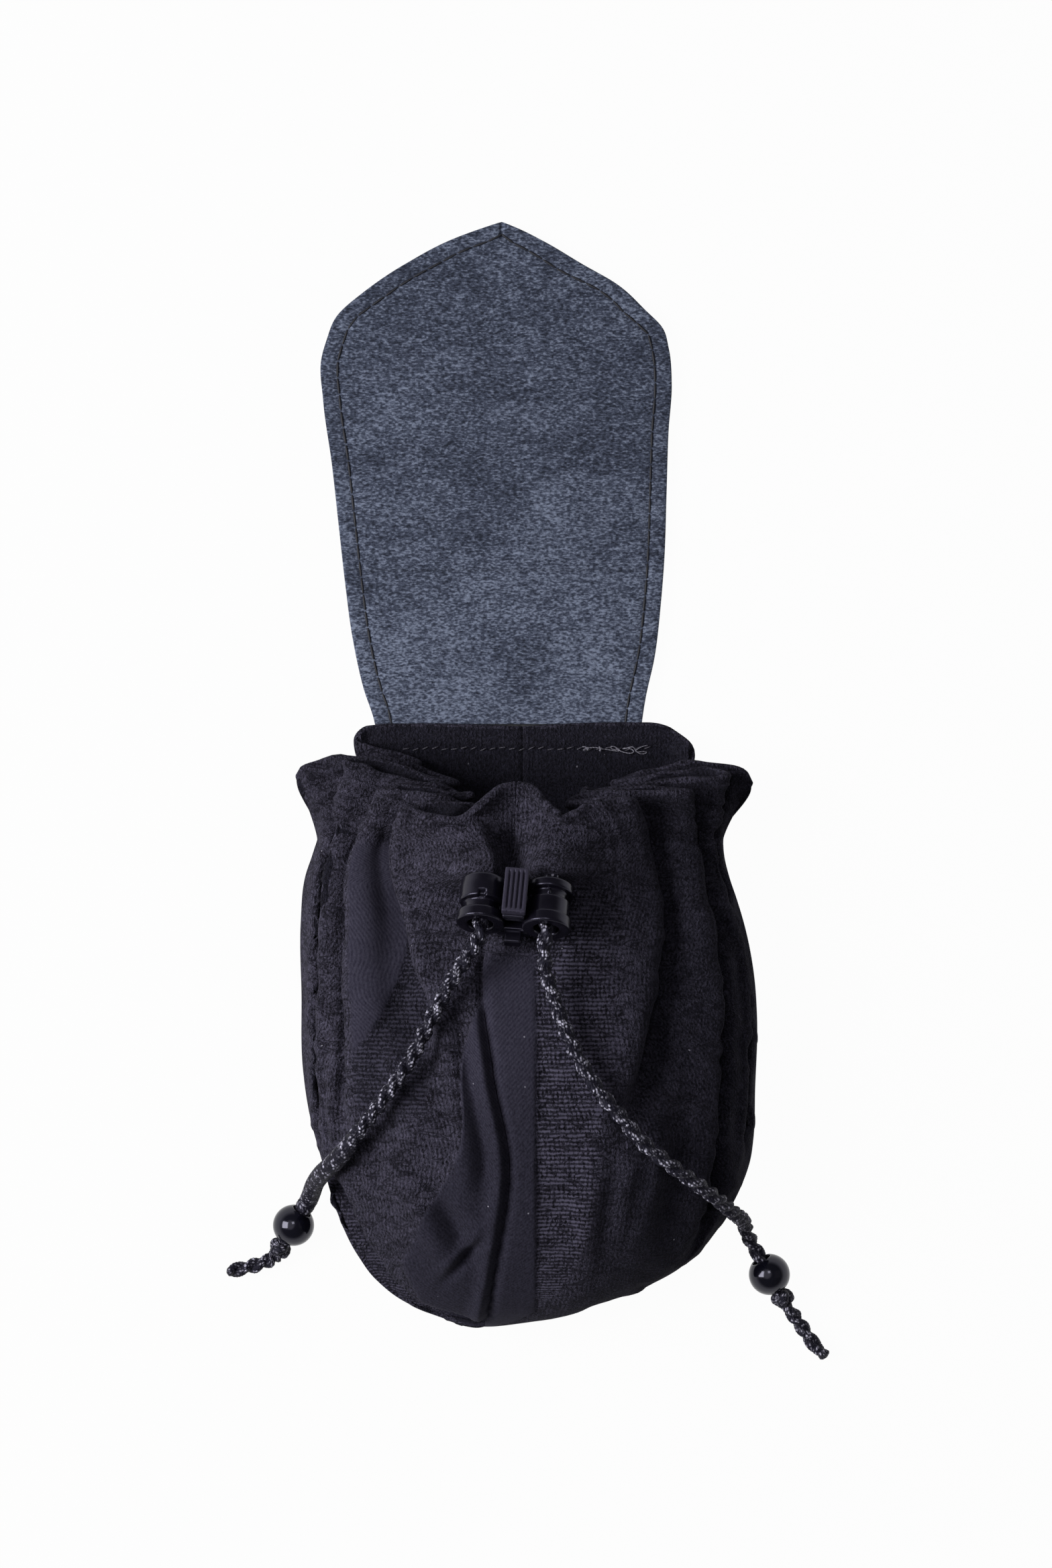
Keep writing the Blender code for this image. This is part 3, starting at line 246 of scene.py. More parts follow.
class CordSettings(bpy.types.PropertyGroup):
    """Sizes and colours of the drawstring."""
    diameter: bpy.props.FloatProperty(
        name="Diameter", description="Width of the twisted cord over its lobes",
        default=0.0039, subtype="DISTANCE")
    lobe: bpy.props.FloatProperty(
        name="Lobe", description="Length of one lobe of the twist", default=0.0046, subtype="DISTANCE")
    left_length: bpy.props.FloatProperty(
        name="Left length", description="Length of the left free end", default=0.14, subtype="DISTANCE")
    right_length: bpy.props.FloatProperty(
        name="Right length", description="Length of the right free end", default=0.162, subtype="DISTANCE")
    loop_length: bpy.props.FloatProperty(
        name="Loop length", description="Length of the loop in the casing", default=0.16, subtype="DISTANCE")
    dark: bpy.props.StringProperty(
        name="Dark yarn", description="Colour of the dark yarn, sRGB hex", default="100f18")
    light: bpy.props.StringProperty(
        name="Light yarn", description="Colour of the light yarn, sRGB hex", default="dcd9ef")


class HardwareSettings(bpy.types.PropertyGroup):
    """Sizes and colours of the lock and the beads."""
    edge: bpy.props.FloatProperty(
        name="Edge", description="Radius of the moulded edges", default=0.00042, subtype="DISTANCE")
    acetal: bpy.props.StringProperty(
        name="Acetal", description="Colour of the lock, sRGB hex", default="08070d")
    resin: bpy.props.StringProperty(
        name="Resin", description="Colour of the beads, sRGB hex", default="09090f")


class StageSettings(bpy.types.PropertyGroup):
    """Floor and light."""
    floor: bpy.props.StringProperty(
        name="Floor", description="Colour of the floor, sRGB hex", default="b8b8ba")
    key: bpy.props.FloatProperty(
        name="Key light", description="Power of the large soft light on the left", default=12.6, unit="POWER")
    fill: bpy.props.FloatProperty(
        name="Fill light", description="Power of the soft light on the right", default=0.1, unit="POWER")
    top: bpy.props.FloatProperty(
        name="Top light", description="Power of the soft light overhead", default=1.7, unit="POWER")
    sky: bpy.props.FloatProperty(
        name="Sky", description="Strength of the even light all round", default=0.06)


class DiceBagSettings(bpy.types.PropertyGroup):
    """All settings of the dice bag."""
    cloth: bpy.props.PointerProperty(type=ClothSettings)
    flap: bpy.props.PointerProperty(type=FlapSettings)
    cord: bpy.props.PointerProperty(type=CordSettings)
    hardware: bpy.props.PointerProperty(type=HardwareSettings)
    stage: bpy.props.PointerProperty(type=StageSettings)


# Shapes

def smoothstep(share):
    """Nought below 0, one above 1 and a soft S between."""
    share = np.clip(share, 0.0, 1.0)
    return share * share * (3 - 2 * share)


def hump(away, width):
    """A bell: one at no distance, dying out over the width."""
    return np.exp(-(away / width) ** 2)


def unit(vectors):
    """Vectors brought to length one."""
    return vectors / np.maximum(np.linalg.norm(vectors, axis=-1, keepdims=True), 1e-9)


def stacked(*parts):
    """Coordinates side by side, each spread over the widest one's shape."""
    return np.stack(np.broadcast_arrays(*parts), axis=-1)


def cubic(t, start, end, leaving, arriving):
    """The cubic from start to end that leaves and arrives at the given slopes, at shares t of the way."""
    return ((1 + 2 * t) * (1 - t) ** 2 * start + t * (1 - t) ** 2 * leaving
            + t * t * (3 - 2 * t) * end + t * t * (t - 1) * arriving)


def through(knots, at):
    """Value at each place on a smooth curve through (place, value) knots: cubic pieces whose slopes
    are the mean of the neighbouring chords; held constant beyond the ends."""
    place, value = np.array(sorted(knots), float).T
    slope = np.gradient(value, place)
    i = np.clip(np.searchsorted(place, at) - 1, 0, len(place) - 2)
    run = place[i + 1] - place[i]
    t = np.clip((at - place[i]) / run, 0.0, 1.0)
    return cubic(t, value[i], value[i + 1], run * slope[i], run * slope[i + 1])


def carried(controls, counts):
    """Lines through stacked control points (K, ..., 3): cubic pieces whose end headings lean to the
    shorter neighbour, each cut into its count of steps."""
    chord = controls[1:] - controls[:-1]
    length = np.maximum(np.linalg.norm(chord, axis=-1, keepdims=True), 1e-6)
    heading = chord / length
    middle = unit(heading[:-1] * length[1:] + heading[1:] * length[:-1])
    heading = np.concatenate([heading[:1], middle, heading[-1:]])
    pieces = []
    for i, count in enumerate(counts):
        t = (np.arange(count) / count).reshape((-1,) + (1,) * (controls.ndim - 1))
        leaving, arriving = length[i] * heading[i], length[i] * heading[i + 1]
        pieces.append(cubic(t, controls[i], controls[i + 1], leaving, arriving))
    return np.concatenate(pieces + [controls[-1:]])


def evenly(path, step):
    """The same line with points a step apart along its length, and how far along each one is."""
    reach = np.concatenate([[0.0], np.cumsum(np.linalg.norm(np.diff(path, axis=0), axis=1))])
    at = np.linspace(0.0, reach[-1], max(2, int(round(reach[-1] / step))) + 1)
    return np.stack([np.interp(at, reach, path[:, k]) for k in range(3)], axis=1), at


def lumps(u, v, seed):
    """Smooth random lumps between -1 and 1, one knot per unit of u and v."""
    knots = np.random.default_rng(seed).uniform(-1, 1, (64, 64))
    i, j = np.floor(u).astype(int), np.floor(v).astype(int)
    a, b = smoothstep(u - i), smoothstep(v - j)
    near = knots[i % 64, j % 64] * (1 - a) + knots[(i + 1) % 64, j % 64] * a
    far = knots[i % 64, (j + 1) % 64] * (1 - a) + knots[(i + 1) % 64, (j + 1) % 64] * a
    return near * (1 - b) + far * b


def facing(points, probe, heading):
    """Unit normals of a grid, with the sign that turns the probed one up (1) or down (-1)."""
    normals = unit(np.cross(np.gradient(points, axis=0), np.gradient(points, axis=1)))
    return normals * (heading * np.sign(normals[probe][2]))


def grid_quads(rows, columns, close_rows=False, close_columns=False):
    """Corner numbers of a grid's four-sided faces, with either way round closed on itself."""
    i, j = np.meshgrid(np.arange(rows if close_rows else rows - 1),
                       np.arange(columns if close_columns else columns - 1), indexing="ij")
    k, m = (i + 1) % rows, (j + 1) % columns
    return np.stack([i * columns + j, k * columns + j, k * columns + m, i * columns + m], -1).reshape(-1, 4)


def tube(points):
    """Faces of a grid of rings: the sides, and the two end rings as caps."""
    rows, columns = points.shape[:2]
    caps = [range(columns), range(rows * columns - 1, (rows - 1) * columns - 1, -1)]
    return points, grid_quads(rows, columns, close_columns=True), caps


def ringed(path, across, upright, turn, radius):
    """Rings of points round a path, in the plane of two unit directions, at each turn and radius."""
    ring = np.cos(turn)[None, :, None] * across[:, None] + np.sin(turn)[None, :, None] * upright[:, None]
    return path[:, None] + radius[..., None] * ring


def make_piece(name, points, quads, material, caps=(), attributes=None):
    """A closed mesh from points in millimetres, with its faces turned outwards."""
    mesh = bpy.data.meshes.new(name)
    mesh.from_pydata((points.reshape(-1, 3) * MM).tolist(), [], quads.tolist() + [list(cap) for cap in caps])
    bm = bmesh.new()
    bm.from_mesh(mesh)
    bmesh.ops.recalc_face_normals(bm, faces=bm.faces)
    bm.to_mesh(mesh)
    bm.free()
    mesh.shade_smooth()
    for key, values in (attributes or {}).items():
        layer = mesh.attributes.new(key, "FLOAT_VECTOR", "POINT")
        layer.data.foreach_set("vector", values.reshape(-1, 3).astype(np.float32).ravel())
    mesh.materials.append(material)
    piece = bpy.data.objects.new(name, mesh)
    bpy.context.scene.collection.objects.link(piece)
    return piece


def surface_mapping(points):
    """Millimetres across (running length of each row) and along (mean running length down the rows)."""
    across = np.linalg.norm(np.diff(points, axis=0), axis=-1)
    along = np.linalg.norm(np.diff(points, axis=1), axis=-1).mean(axis=0)
    across = np.concatenate([np.zeros((1, points.shape[1])), np.cumsum(across, axis=0)])
    along = np.concatenate([[0.0], np.cumsum(along)])
    return stacked(across, along, 0.0)


def cloth_shell(name, outer, depth, inward, weave, material):
    """A cloth from its outer face (columns, rows from the lip down, 3): the inner face lies the depth
    along the inward normals, the lip is rounded over, and the other edges are closed. The weave holds
    each point's shares of twill, ribs and a dark third share: the inner face's tone, or painted shade on the
    outer face."""
    inner = outer + inward * depth[..., None]
    middle, half = (outer[:, :1] + inner[:, :1]) / 2, (outer[:, :1] - inner[:, :1]) / 2
    ahead = unit(outer[:, :1] - outer[:, 1:2]) * np.linalg.norm(half, axis=-1, keepdims=True)
    turn = np.linspace(math.pi, 0, 8)[1:-1].reshape(1, -1, 1)
    lip = middle + half * np.cos(turn) + ahead * np.sin(turn)
    points = np.concatenate([inner[:, ::-1], lip, outer], axis=1)
    columns, rows = points.shape[:2]
    quads = [grid_quads(columns, rows)]
    i = np.arange(rows // 2 - 1)
    for first in (0, (columns - 1) * rows):
        quads.append(first + np.stack([i, i + 1, rows - 2 - i, rows - 1 - i], -1))
    j = np.arange(columns - 1) * rows
    quads.append(np.stack([j, j + rows, j + 2 * rows - 1, j + rows - 1], -1))
    mapping = surface_mapping(outer)
    edge = np.repeat(mapping[:, :1], lip.shape[1], axis=1)
    mapping = np.concatenate([mapping[:, ::-1], edge, mapping], axis=1)
    thin = np.median(depth)
    turned = smoothstep((depth - thin) / (depth.max() - thin))
    lining_and_shade = stacked(0.0, 0.0, 1 - HEM_PLUSH * turned)
    weave = np.concatenate([lining_and_shade[:, ::-1], np.zeros(lip.shape), weave], axis=1)
    return make_piece(name, points, np.concatenate(quads), material,
                      attributes={"surface_mm": mapping, "weave": weave})


# The bag's cloth

def bag_width(y):
    """The bag's middle and half width at y, from its two outlines."""
    left, right = through(LEFT_OUTLINE, y), through(RIGHT_OUTLINE, y)
    return (left + right) / 2, (right - left) / 2


def left_inset(x, y):
    """Distance in from the bag's left outline, square to it."""
    slope = (through(LEFT_OUTLINE, y + 0.1) - through(LEFT_OUTLINE, y - 0.1)) / 0.2
    return (x - through(LEFT_OUTLINE, y)) / np.sqrt(1 + slope ** 2)


def panel_rows(top_y, frill_rows, body_rows):
    """A panel's rows from the lip down: each one's share of the way up the frill, its y on the bag, and the
    bag's middle and half width there. Body rows crowd towards the foot along a quarter of a sine."""
    run = np.linspace(0, 1, body_rows)[1:]
    body_y = top_y + (FOOT_Y - top_y) * (0.45 * run + 0.55 * np.sin(run * math.pi / 2))
    rise = np.concatenate([np.linspace(1, 0, frill_rows), np.zeros(len(run))])
    low_y = np.concatenate([np.full(frill_rows, top_y), body_y])
    return rise, low_y, *bag_width(low_y)


def cloth_depth(settings, turned):
    """The cloth's own thickness in millimetres, and what the hem adds where the cloth is turned."""
    return settings.thickness / MM, (settings.hem - settings.thickness) / MM * turned


def crown_z(y):
    """Height of the front's crown: full at the belly, low at the neck, round at the foot."""
    fall = np.clip((BELLY_Y - y) / (BELLY_Y - FOOT_Y), 0, 1) ** FOOT_POWER
    low = SEAM_Z + (BELLY_Z - SEAM_Z) * np.sqrt(1 - fall)
    rise = np.clip((y - BELLY_Y) / (NECK_Y - BELLY_Y), 0, 1) ** 2
    return np.where(y < BELLY_Y, low, BELLY_Z + (NECK_Z - BELLY_Z) * rise)


def section(angle, side, middle, width, crown):
    """A point of the rounded section: x share is a power of the cosine, height a power of the sine."""
    cos, sin = np.cos(angle), np.clip(np.sin(angle), 0, 1)
    x = middle + side * width * np.sign(cos) * np.abs(cos) ** SIDE_POWER
    return x, SEAM_Z + (crown - SEAM_Z) * sin ** CROWN_POWER


def section_angle(x, side, middle, width):
    """The section's angle at an x: the inverse of the section's own power of the cosine."""
    share = np.clip(side * (x - middle) / width, -0.98, 0.985)
    return np.arccos(np.sign(share) * np.abs(share) ** (1 / SIDE_POWER))


def section_speed(angle, *bag):
    """The section's point at an angle, and its length per radian there."""
    step = 0.002
    x, z = section(angle, *bag)
    ahead_x, ahead_z = section(angle - step, *bag)
    return x, z, np.maximum(np.hypot(ahead_x - x, ahead_z - z) / step, 1.0)


def cord_dent(points, path):
    """Pushes cloth down under a cord: its height stays below a round trough along the cord."""
    darkened = points.reshape(-1, 3).copy()
    reach = np.sqrt(((darkened[:, None, :2] - path[None, :, :2]) ** 2).sum(-1))
    nearest = reach.argmin(1)
    away = reach[np.arange(len(darkened)), nearest]
    ceiling = path[nearest, 2] - DENT_DEPTH + away ** 2 / (2 * TROUGH_RADIUS)
    darkened[:, 2] -= np.maximum(darkened[:, 2] - ceiling, 0.0) * (away < DENT_REACH)
    return darkened.reshape(points.shape)


def fold_lip(side, folds, number, ruffle):
    """A fold's ten points along the lip: up to its tip, round it, back in to its inner end, and then out
    towards the next fold's tip, or along the ruffle after the last fold."""
    tip, end = np.array(folds[number][2]), np.array(folds[number][3])
    line = [start + (side * out, back, up) for start, out, back, up in (
        (tip, -5.0, 0.0, 2.6), (tip, -2.4, 0.0, 2.4), (tip, 0.0, 0.8, 0.0), (tip, -2.4, 1.6, -2.4),
        (end, 2.4, 0.0, 1.4), (end, 0.0, 0.0, 0.0), (end, 1.8, 0.0, -1.4))]
    if number == len(folds) - 1:
        return line + list(ruffle[:-1])
    onward = np.array(folds[number + 1][2]) - end
    steps = ((0.32, 0.9), (0.54, 1.6), (0.74, 1.9))
    return line + [end + onward * share + (0, 0, lift) for share, lift in steps]


def front_cloth(side, settings, cord_path):
    """One front panel's outer face. Rows run from the lip to the foot and columns from the centre seam to
    the side; each row is a rounded section with three knife folds that roll over their crest, tuck back
    under and come out lower, and that die out down the belly; above the neck the section opens into the
    frill, whose folds reach back into the mouth."""
    folds, lip = (LEFT_FOLDS, LEFT_LIP) if side < 0 else (RIGHT_FOLDS, RIGHT_LIP)
    ruffle = np.array(LEFT_RUFFLE if side < 0 else RIGHT_RUFFLE)
    rise, low_y, middle, width = panel_rows(NECK_Y, 26, 150)
    bag = (side, middle, width, crown_z(low_y))
    narrow = np.clip(width / 45, 0.03, 1)
    roll, tuck = settings.fold_roll / MM, settings.fold_tuck / MM

    def placed(x, z, lip_point):
        """A control line: the low section's point, drawn towards its place on the lip up the frill."""
        return np.stack([x + (lip_point[0] - x) * rise ** 1.3, low_y + (lip_point[1] - NECK_Y) * rise,
                         z + (lip_point[2] - z) * rise], axis=-1)

    def crest_angle(crest):
        """A crest's angle on every row, from its places as shares of the bag's half width."""
        y, x = np.array(crest, float).T
        centre, wide = bag_width(y)
        share = through(tuple(zip(y, side * (x - centre) / wide)), low_y)
        return section_angle(middle + side * width * share, side, middle, width)

    angles = [crest_angle(crest) for crest, *_ in folds]
    crests = [section_speed(angle, *bag) for angle in angles]
    seam = section_angle(through(CENTRE_SEAM, low_y), side, middle, width)
    bounds = [seam] + angles + [np.zeros_like(low_y)]
    spans = [(bounds[k] - bounds[k + 1]) * crests[min(k, len(folds) - 1)][2] for k in range(len(folds) + 1)]
    controls, counts = [], list(DOME_STEPS)
    before = np.minimum(narrow, spans[0] / 9.0)
    start = angles[0] + 5.0 * before / crests[0][2]
    for share in DOME_SHARES:
        x, z = section(seam + (start - seam) * share, *bag)
        lip_x = lip[-1 if side < 0 else 0][0] * (1 - share) + (folds[0][2][0] - 5.6 * side) * share
        arch = LIP_Z - 4.5 * abs(lip_x / 33.0) ** 2.2
        wave = 1.6 * hump(lip_x - 8, 4.5) - 2.2 * hump(lip_x + 3.4, 4.0)
        controls.append(placed(x, z, (lip_x, float(through(lip, np.array(lip_x))), arch + wave)))
    crest_x = [x for x, _, _ in crests] + [middle + side * width]
    for number, (_, end_y, _, _) in enumerate(folds):
        last = number == len(folds) - 1
        x, z, speed = crests[number]
        shut = (low_y - end_y) / FOLD_RUN[number]
        opened, tucked = smoothstep(shut / 0.55), smoothstep((shut - 0.45) / 0.55)
        slant = math.radians(FOLD_SLANT[number])
        out, up = (side * math.cos(slant), -math.sin(slant)), (side * math.sin(slant), math.cos(slant))
        bend = roll * FOLD_ROLL[number] * (1 - 0.3 * smoothstep((low_y - 28) / 18))
        drop = 2 * bend + 2.2
        gap = np.abs(crest_x[number + 1] - x)
        lead, reach = np.full_like(x, 4.6), tuck * FOLD_TUCK[number] + 1.3
        if number:
            lead = 0.38 * np.abs(x - crest_x[number - 1])
            reach = np.minimum(reach, 0.8 * lead)
            before = np.minimum(narrow, spans[number] / 14.5)
        after = np.minimum(narrow, spans[number + 1] / (11.0 if last else 14.5))
        wide = np.minimum(gap / 13, 1.0)
        # Each line's place out and up from the crest when tucked, when only opened, and past it when flat
        lines = ((-lead, 0.25, -lead, 0.2, -5.0),
                 (-lead / 2, 0.2, -lead / 2, 0.1, -2.8),
                 (0.4, -bend, 0.2 * wide, -0.35 * drop, -0.9),
                 (-0.25 * reach, -2 * bend, 0.9 * wide, -0.62 * drop, 0.6),
                 (-0.82 * reach, -2 * bend - 0.3, 1.4 * wide, -0.8 * drop, 1.8),
                 (-reach, -2 * bend - 1.3, 1.9 * wide, -0.9 * drop, 2.6),
                 (-0.82 * reach, -2 * bend - 2.3, 2.4 * wide, -0.96 * drop, 3.4),
                 (-0.25 * reach, -drop, 3.0 * wide, -drop, 4.6),
                 (0.14 * gap, -drop, 0.32 * gap, -drop, 6.2),
                 (0.36 * gap, -0.85 * drop, 0.5 * gap, -0.85 * drop, 8.4))
        for (far, under, ahead, below, rest), lip_point in zip(lines, fold_lip(side, folds, number, ruffle)):
            turn = angles[number] - rest * (before if rest < 0 else after) / speed
            low_x, low_z = section(np.maximum(turn, 0.012), *bag)
            for off, lift, share in ((ahead, below, opened), (far, under, tucked)):
                low_x = low_x + (x + off * out[0] + lift * up[0] - low_x) * share
                low_z = low_z + (z + off * out[1] + lift * up[1] - low_z) * share
            controls.append(placed(low_x, low_z, lip_point))
        counts += FOLD_STEPS
    controls.append(placed(*section(np.zeros_like(low_y), *bag), ruffle[-1]))
    outer = carried(np.stack(controls), counts)
    weave = woven_patches(outer, side, sum(DOME_STEPS), sum(FOLD_STEPS))
    outer = gathered_at_lock(crumple(outer, side, weave[..., 0]))
    outer = cord_dent(outer, cord_path)
    turned = smoothstep(np.maximum(outer[..., 1] - (outer[:, :1, 1] - 3.6), 0) / 2.4)
    plain, hem = cloth_depth(settings, turned)
    return outer, plain + hem, facing(outer, FRONT_PROBE, -1), weave


def woven_patches(outer, side, dome, fold):
    """Where the weave is plain twill or ribbed instead of plush, as shares of (twill, ribs, dark third
    share).
    On the outer face the third share darkens the cloth: painted shade on the right side, more at the lower
    right, and on the mesh zone; a darker strip at the lower left, and twill and plush darker towards the
    bottom. Edges are soft steps across lines drawn in x and y; dome and fold are the columns of the middle
    and of one fold."""
    x, y = outer[..., 0], outer[..., 1]
    column = np.arange(len(outer))[:, None]
    inner = 1.0 * (column < dome)
    if side > 0:
        twill = inner * smoothstep((1.8 - x) / 0.6 + 0.5) * smoothstep((22 - y) / 6)
        ribs = inner * smoothstep((x - 1.8) / 0.6 + 0.5) * smoothstep((42 - y) / 20)
        ribs = ribs * smoothstep((27 - x) / 14)
        # Painted shade: the plush darker on the right side and more at the lower right, where light from the
        # left leaves it in shade
        darkened = 0.5 * smoothstep((x - 22) / 10) + 0.45 * smoothstep((x - 12) / 8) * smoothstep((-25 - y) / 15)
        # Capped, and the twill darker towards the bottom
        darkened = np.maximum(np.minimum(darkened, 0.8), 0.5 * twill * smoothstep((-2 - y) / 28))
        return np.stack([twill, ribs, darkened], axis=-1)
    lens = smoothstep((x - through(LENS_EDGE, y)) / 0.8 + 0.5) * smoothstep((12 - y) / 4)
    lens = lens * (column < dome + fold)
    between = (column > dome + 0.45 * fold) & (column < dome + 1.1 * fold)
    corner = between * smoothstep((through(LEAF_EDGE, y) - x) / 0.8 + 0.5)
    corner = corner * smoothstep((y + 9) / 2) * smoothstep((50 - y) / 6)
    ladder = smoothstep((1.5 - np.abs(x + 19.2)) / 0.5) * smoothstep((y + 38) / 8) * smoothstep(-y / 6)
    mesh = between * (1 - corner) * smoothstep((y + 24) / 8) * smoothstep((26 - y) / 6)
    strip = smoothstep((4.0 - left_inset(x, y)) / 0.8 + 0.5) * smoothstep((-32 - y) / 8)
    twill = np.maximum(lens * (1 - ladder), corner)
    ribs = np.maximum(np.maximum(ladder * inner, mesh), strip)
    # Painted shade on the mesh zone; the strip at the lower left darker, and the lens's twill darker towards
    # the bottom
    darkened = np.maximum(0.6 * mesh + 0.4 * strip, 0.55 * lens * smoothstep((-2 - y) / 28))
    # The plush darker towards the bottom
    darkened = np.maximum(darkened, 0.3 * smoothstep((-30 - y) / 25))
    return np.stack([twill, ribs, darkened], axis=-1)


def crumple(outer, side, twill):
    """Adds the cloth's own creases along its normals: gathers under the neck, the puckered centre seam,
    soft dents, fine wrinkles at the side, and the step where the front lies over the back's strip at the
    lower left."""
    across, along, _ = np.moveaxis(surface_mapping(outer), -1, 0)
    x, y = outer[..., 0], outer[..., 1]
    column = across[:, 60:61] + 0 * across
    drift = lumps(column / 9 + 3, along / 26, 5)
    below_lip = smoothstep(along / 9)
    lift = 0.14 * smoothstep((y - 2) / 34) * np.sin(TAU * (column / 6.4 + 1.6 * drift))
    lift += 0.9 * lumps(across / 17 + 20 * (side > 0), along / 34, 11)
    lift += 0.4 * lumps(across / 6, along / 10, 12)
    lift += 0.12 * lumps(across / 2.2, along / 4.0, 13) * below_lip
    at_side = below_lip * smoothstep((across - 34) / 10)
    lift += 0.55 * lumps(across / 8 + along / 30, along / 2.9, 14) * at_side
    lift = lift * (1 - 0.6 * twill) + 0.6 * twill
    pucker = 0.25 * np.sin(TAU * along / 6.3 + 2.0 * lumps(along / 11, across * 0, 3))
    lift -= (1.5 + pucker) * hump(across, 1.3) * smoothstep((44 - y) / 14)
    if side < 0:
        for height, away, wide, top, fade, foot, ease in SEAM_RIDGES:
            faded = smoothstep((top - y) / fade) * smoothstep((y - foot) / ease)
            lift += height * hump(across - away, wide) * faded
        valley = 0.9 * (x + 19) + 0.43 * (y + 46.5)
        lift += 1.5 * hump(valley + 5.2, 3.2) * hump(y + 46, 11) - 2.9 * hump(valley, 2.6) * hump(y + 47, 9)
        crease = 0.7 * (y + 54.2) - 0.7 * (x + 16)
        lift += 1.2 * hump(crease - 1.2, 1.3) * hump(x + 16.5, 4.5)
        lift -= 1.9 * hump(crease + 1.3, 1.3) * hump(x + 15.5, 4.5)
    else:
        for height, at, lean, wide, middle, tall in RIGHT_CREASES:
            lift += height * hump(x - at - lean * (y + 40), wide) * hump(y - middle, tall)
    lift *= 1 - 0.85 * hump(x + 3.3, 15) * hump(y - 31, 11)
    lift *= smoothstep((y - FOOT_Y) / 7) * smoothstep((across[-1:] - across) / 6)
    shaped = outer + facing(outer, FRONT_PROBE, 1) * lift[..., None]
    if side < 0:
        inset = left_inset(x, y)
        strip = 1 - smoothstep((inset - 4.8 * smoothstep((-28 - y) / 14)) / 1.2 + 0.5)
        strip *= smoothstep((-28 - y) / 12) * smoothstep((y - FOOT_Y) / 3)
        level = SEAM_Z + 0.5 * np.clip(inset, 0, 8)
        shaped[..., 2] += (np.minimum(level, shaped[..., 2]) - shaped[..., 2]) * strip
    return shaped


def gathered_at_lock(outer):
    """Draws the cloth up round each strand of the loop: a pucker runs from the lock to the lip, steep
    towards the seam and easing off outwards."""
    x, y, z = np.moveaxis(outer, -1, 0)
    height = through(PUCKER_HEIGHT, y)
    raised = z
    for side, low, high in ((-1, -11.2, -16.0), (1, 5.4, 9.0)):
        ridge = low + (high - low) * np.clip((y - 43) / 10, 0, 1)
        off, wide = side * (x - ridge), side * (ridge + 3.6)
        slope = np.clip((off + wide) / (wide - 2.6), 0, 1)
        near = np.where(off > 0, hump(off, 12.0), slope)
        near = near * smoothstep((y - 34.4) / 3.0) * smoothstep((57 - y) / 8)
        raised = raised + np.maximum(height - z, 0) * near
    return np.stack([x, y, z + (raised - z) * smoothstep((z - 21) / 7)], axis=-1)


def back_cloth(side, settings):
    """One back panel's outer face: flat on the table, turned up at the side like a tray, lifted over the
    flap's root, and folded once at the rim so that the ruffle stands beside it."""
    rim = np.array(LEFT_RIM if side < 0 else RIGHT_RIM, float)
    rise, low_y, middle, width = panel_rows(BACK_FRILL_Y, 34, 84)
    grown, edge_z, flat_share = smoothstep(rise), SEAM_Z - 0.1, 0.6
    heel = np.clip(1 - (low_y - FOOT_Y) / 15, 0, 1)
    floor = edge_z * (1 - np.sqrt(1 - heel ** 2))
    seam_share = (-1.5 + (-9.5) * smoothstep(-low_y / 75) - middle) / width * side
    controls = []
    for place, point in zip(BACK_PLACES, rim):
        turn = max(0.0, place - 1) * math.pi / 2
        share = flat_share + (1 - flat_share) * math.sin(turn)
        if place <= 1:
            share = seam_share + (flat_share - seam_share) * place
        x = middle + side * width * share
        z = floor + (edge_z - floor) * (1 - math.cos(turn))
        controls.append(np.stack([x + (point[0] - x) * grown, low_y + (point[1] - BACK_FRILL_Y) * rise,
                                  z + (point[2] - z) * np.where(place > 0.9, grown, 0)], axis=-1))
    outer = carried(np.stack(controls), (10, 10, 8, 6, 6, 6, 5, 5, 6, 7, 8))
    lifted = ROOT_LIFT * smoothstep(1 + (outer[..., 1] - FLAP_ROOT_Y) / ROOT_RAMP)
    outer[..., 2] = np.maximum(outer[..., 2], lifted)
    across, along, _ = np.moveaxis(surface_mapping(outer), -1, 0)
    y = outer[..., 1]
    lift = -np.abs(0.5 * lumps(across / 14, along / 22, 31 + side)) - 0.5 * hump(across, 1.2)
    lift *= smoothstep((y - FOOT_Y) / 7) * smoothstep((58 - y) / 10) * (outer[..., 2] < 6)
    hem = y - (outer[:, :1, 1] - 4.6)
    outer = outer + facing(outer, BACK_PROBE, -1) * lift[..., None]
    plain, hem_depth = cloth_depth(settings, smoothstep(hem / 0.8))
    groove = hump(hem + 0.2, 0.7)
    depth = plain * (1 - 0.35 * groove) + hem_depth
    return outer, depth, facing(outer, BACK_PROBE, 1), np.zeros(outer.shape)


# Cords

def lock_axes():
    """The lock's own axes as columns: a tilt about X after a yaw about Z."""
    c, s = math.cos(-LOCK_TILT), math.sin(-LOCK_TILT)
    tilt = np.array(((1, 0, 0), (0, c, -s), (0, s, c)))
    c, s = math.cos(LOCK_YAW), math.sin(LOCK_YAW)
    return tilt @ np.array(((c, -s, 0), (s, c, 0), (0, 0, 1)))


def lock_place(points):
    """Points in the lock's own axes, in millimetres, moved to the lock."""
    return LOCK_CENTRE + np.asarray(points, float) @ lock_axes().T


def through_barrel(side, way):
    """Three points of a cord's middle line from inside a barrel to just outside its end."""
    inside = lock_place((side * BARREL_X, way * 0.15, CORD_LIFT))
    outside = lock_place((side * BARREL_X, way * 9.1, CORD_LIFT))
    return [inside, (inside + outside) / 2, outside]


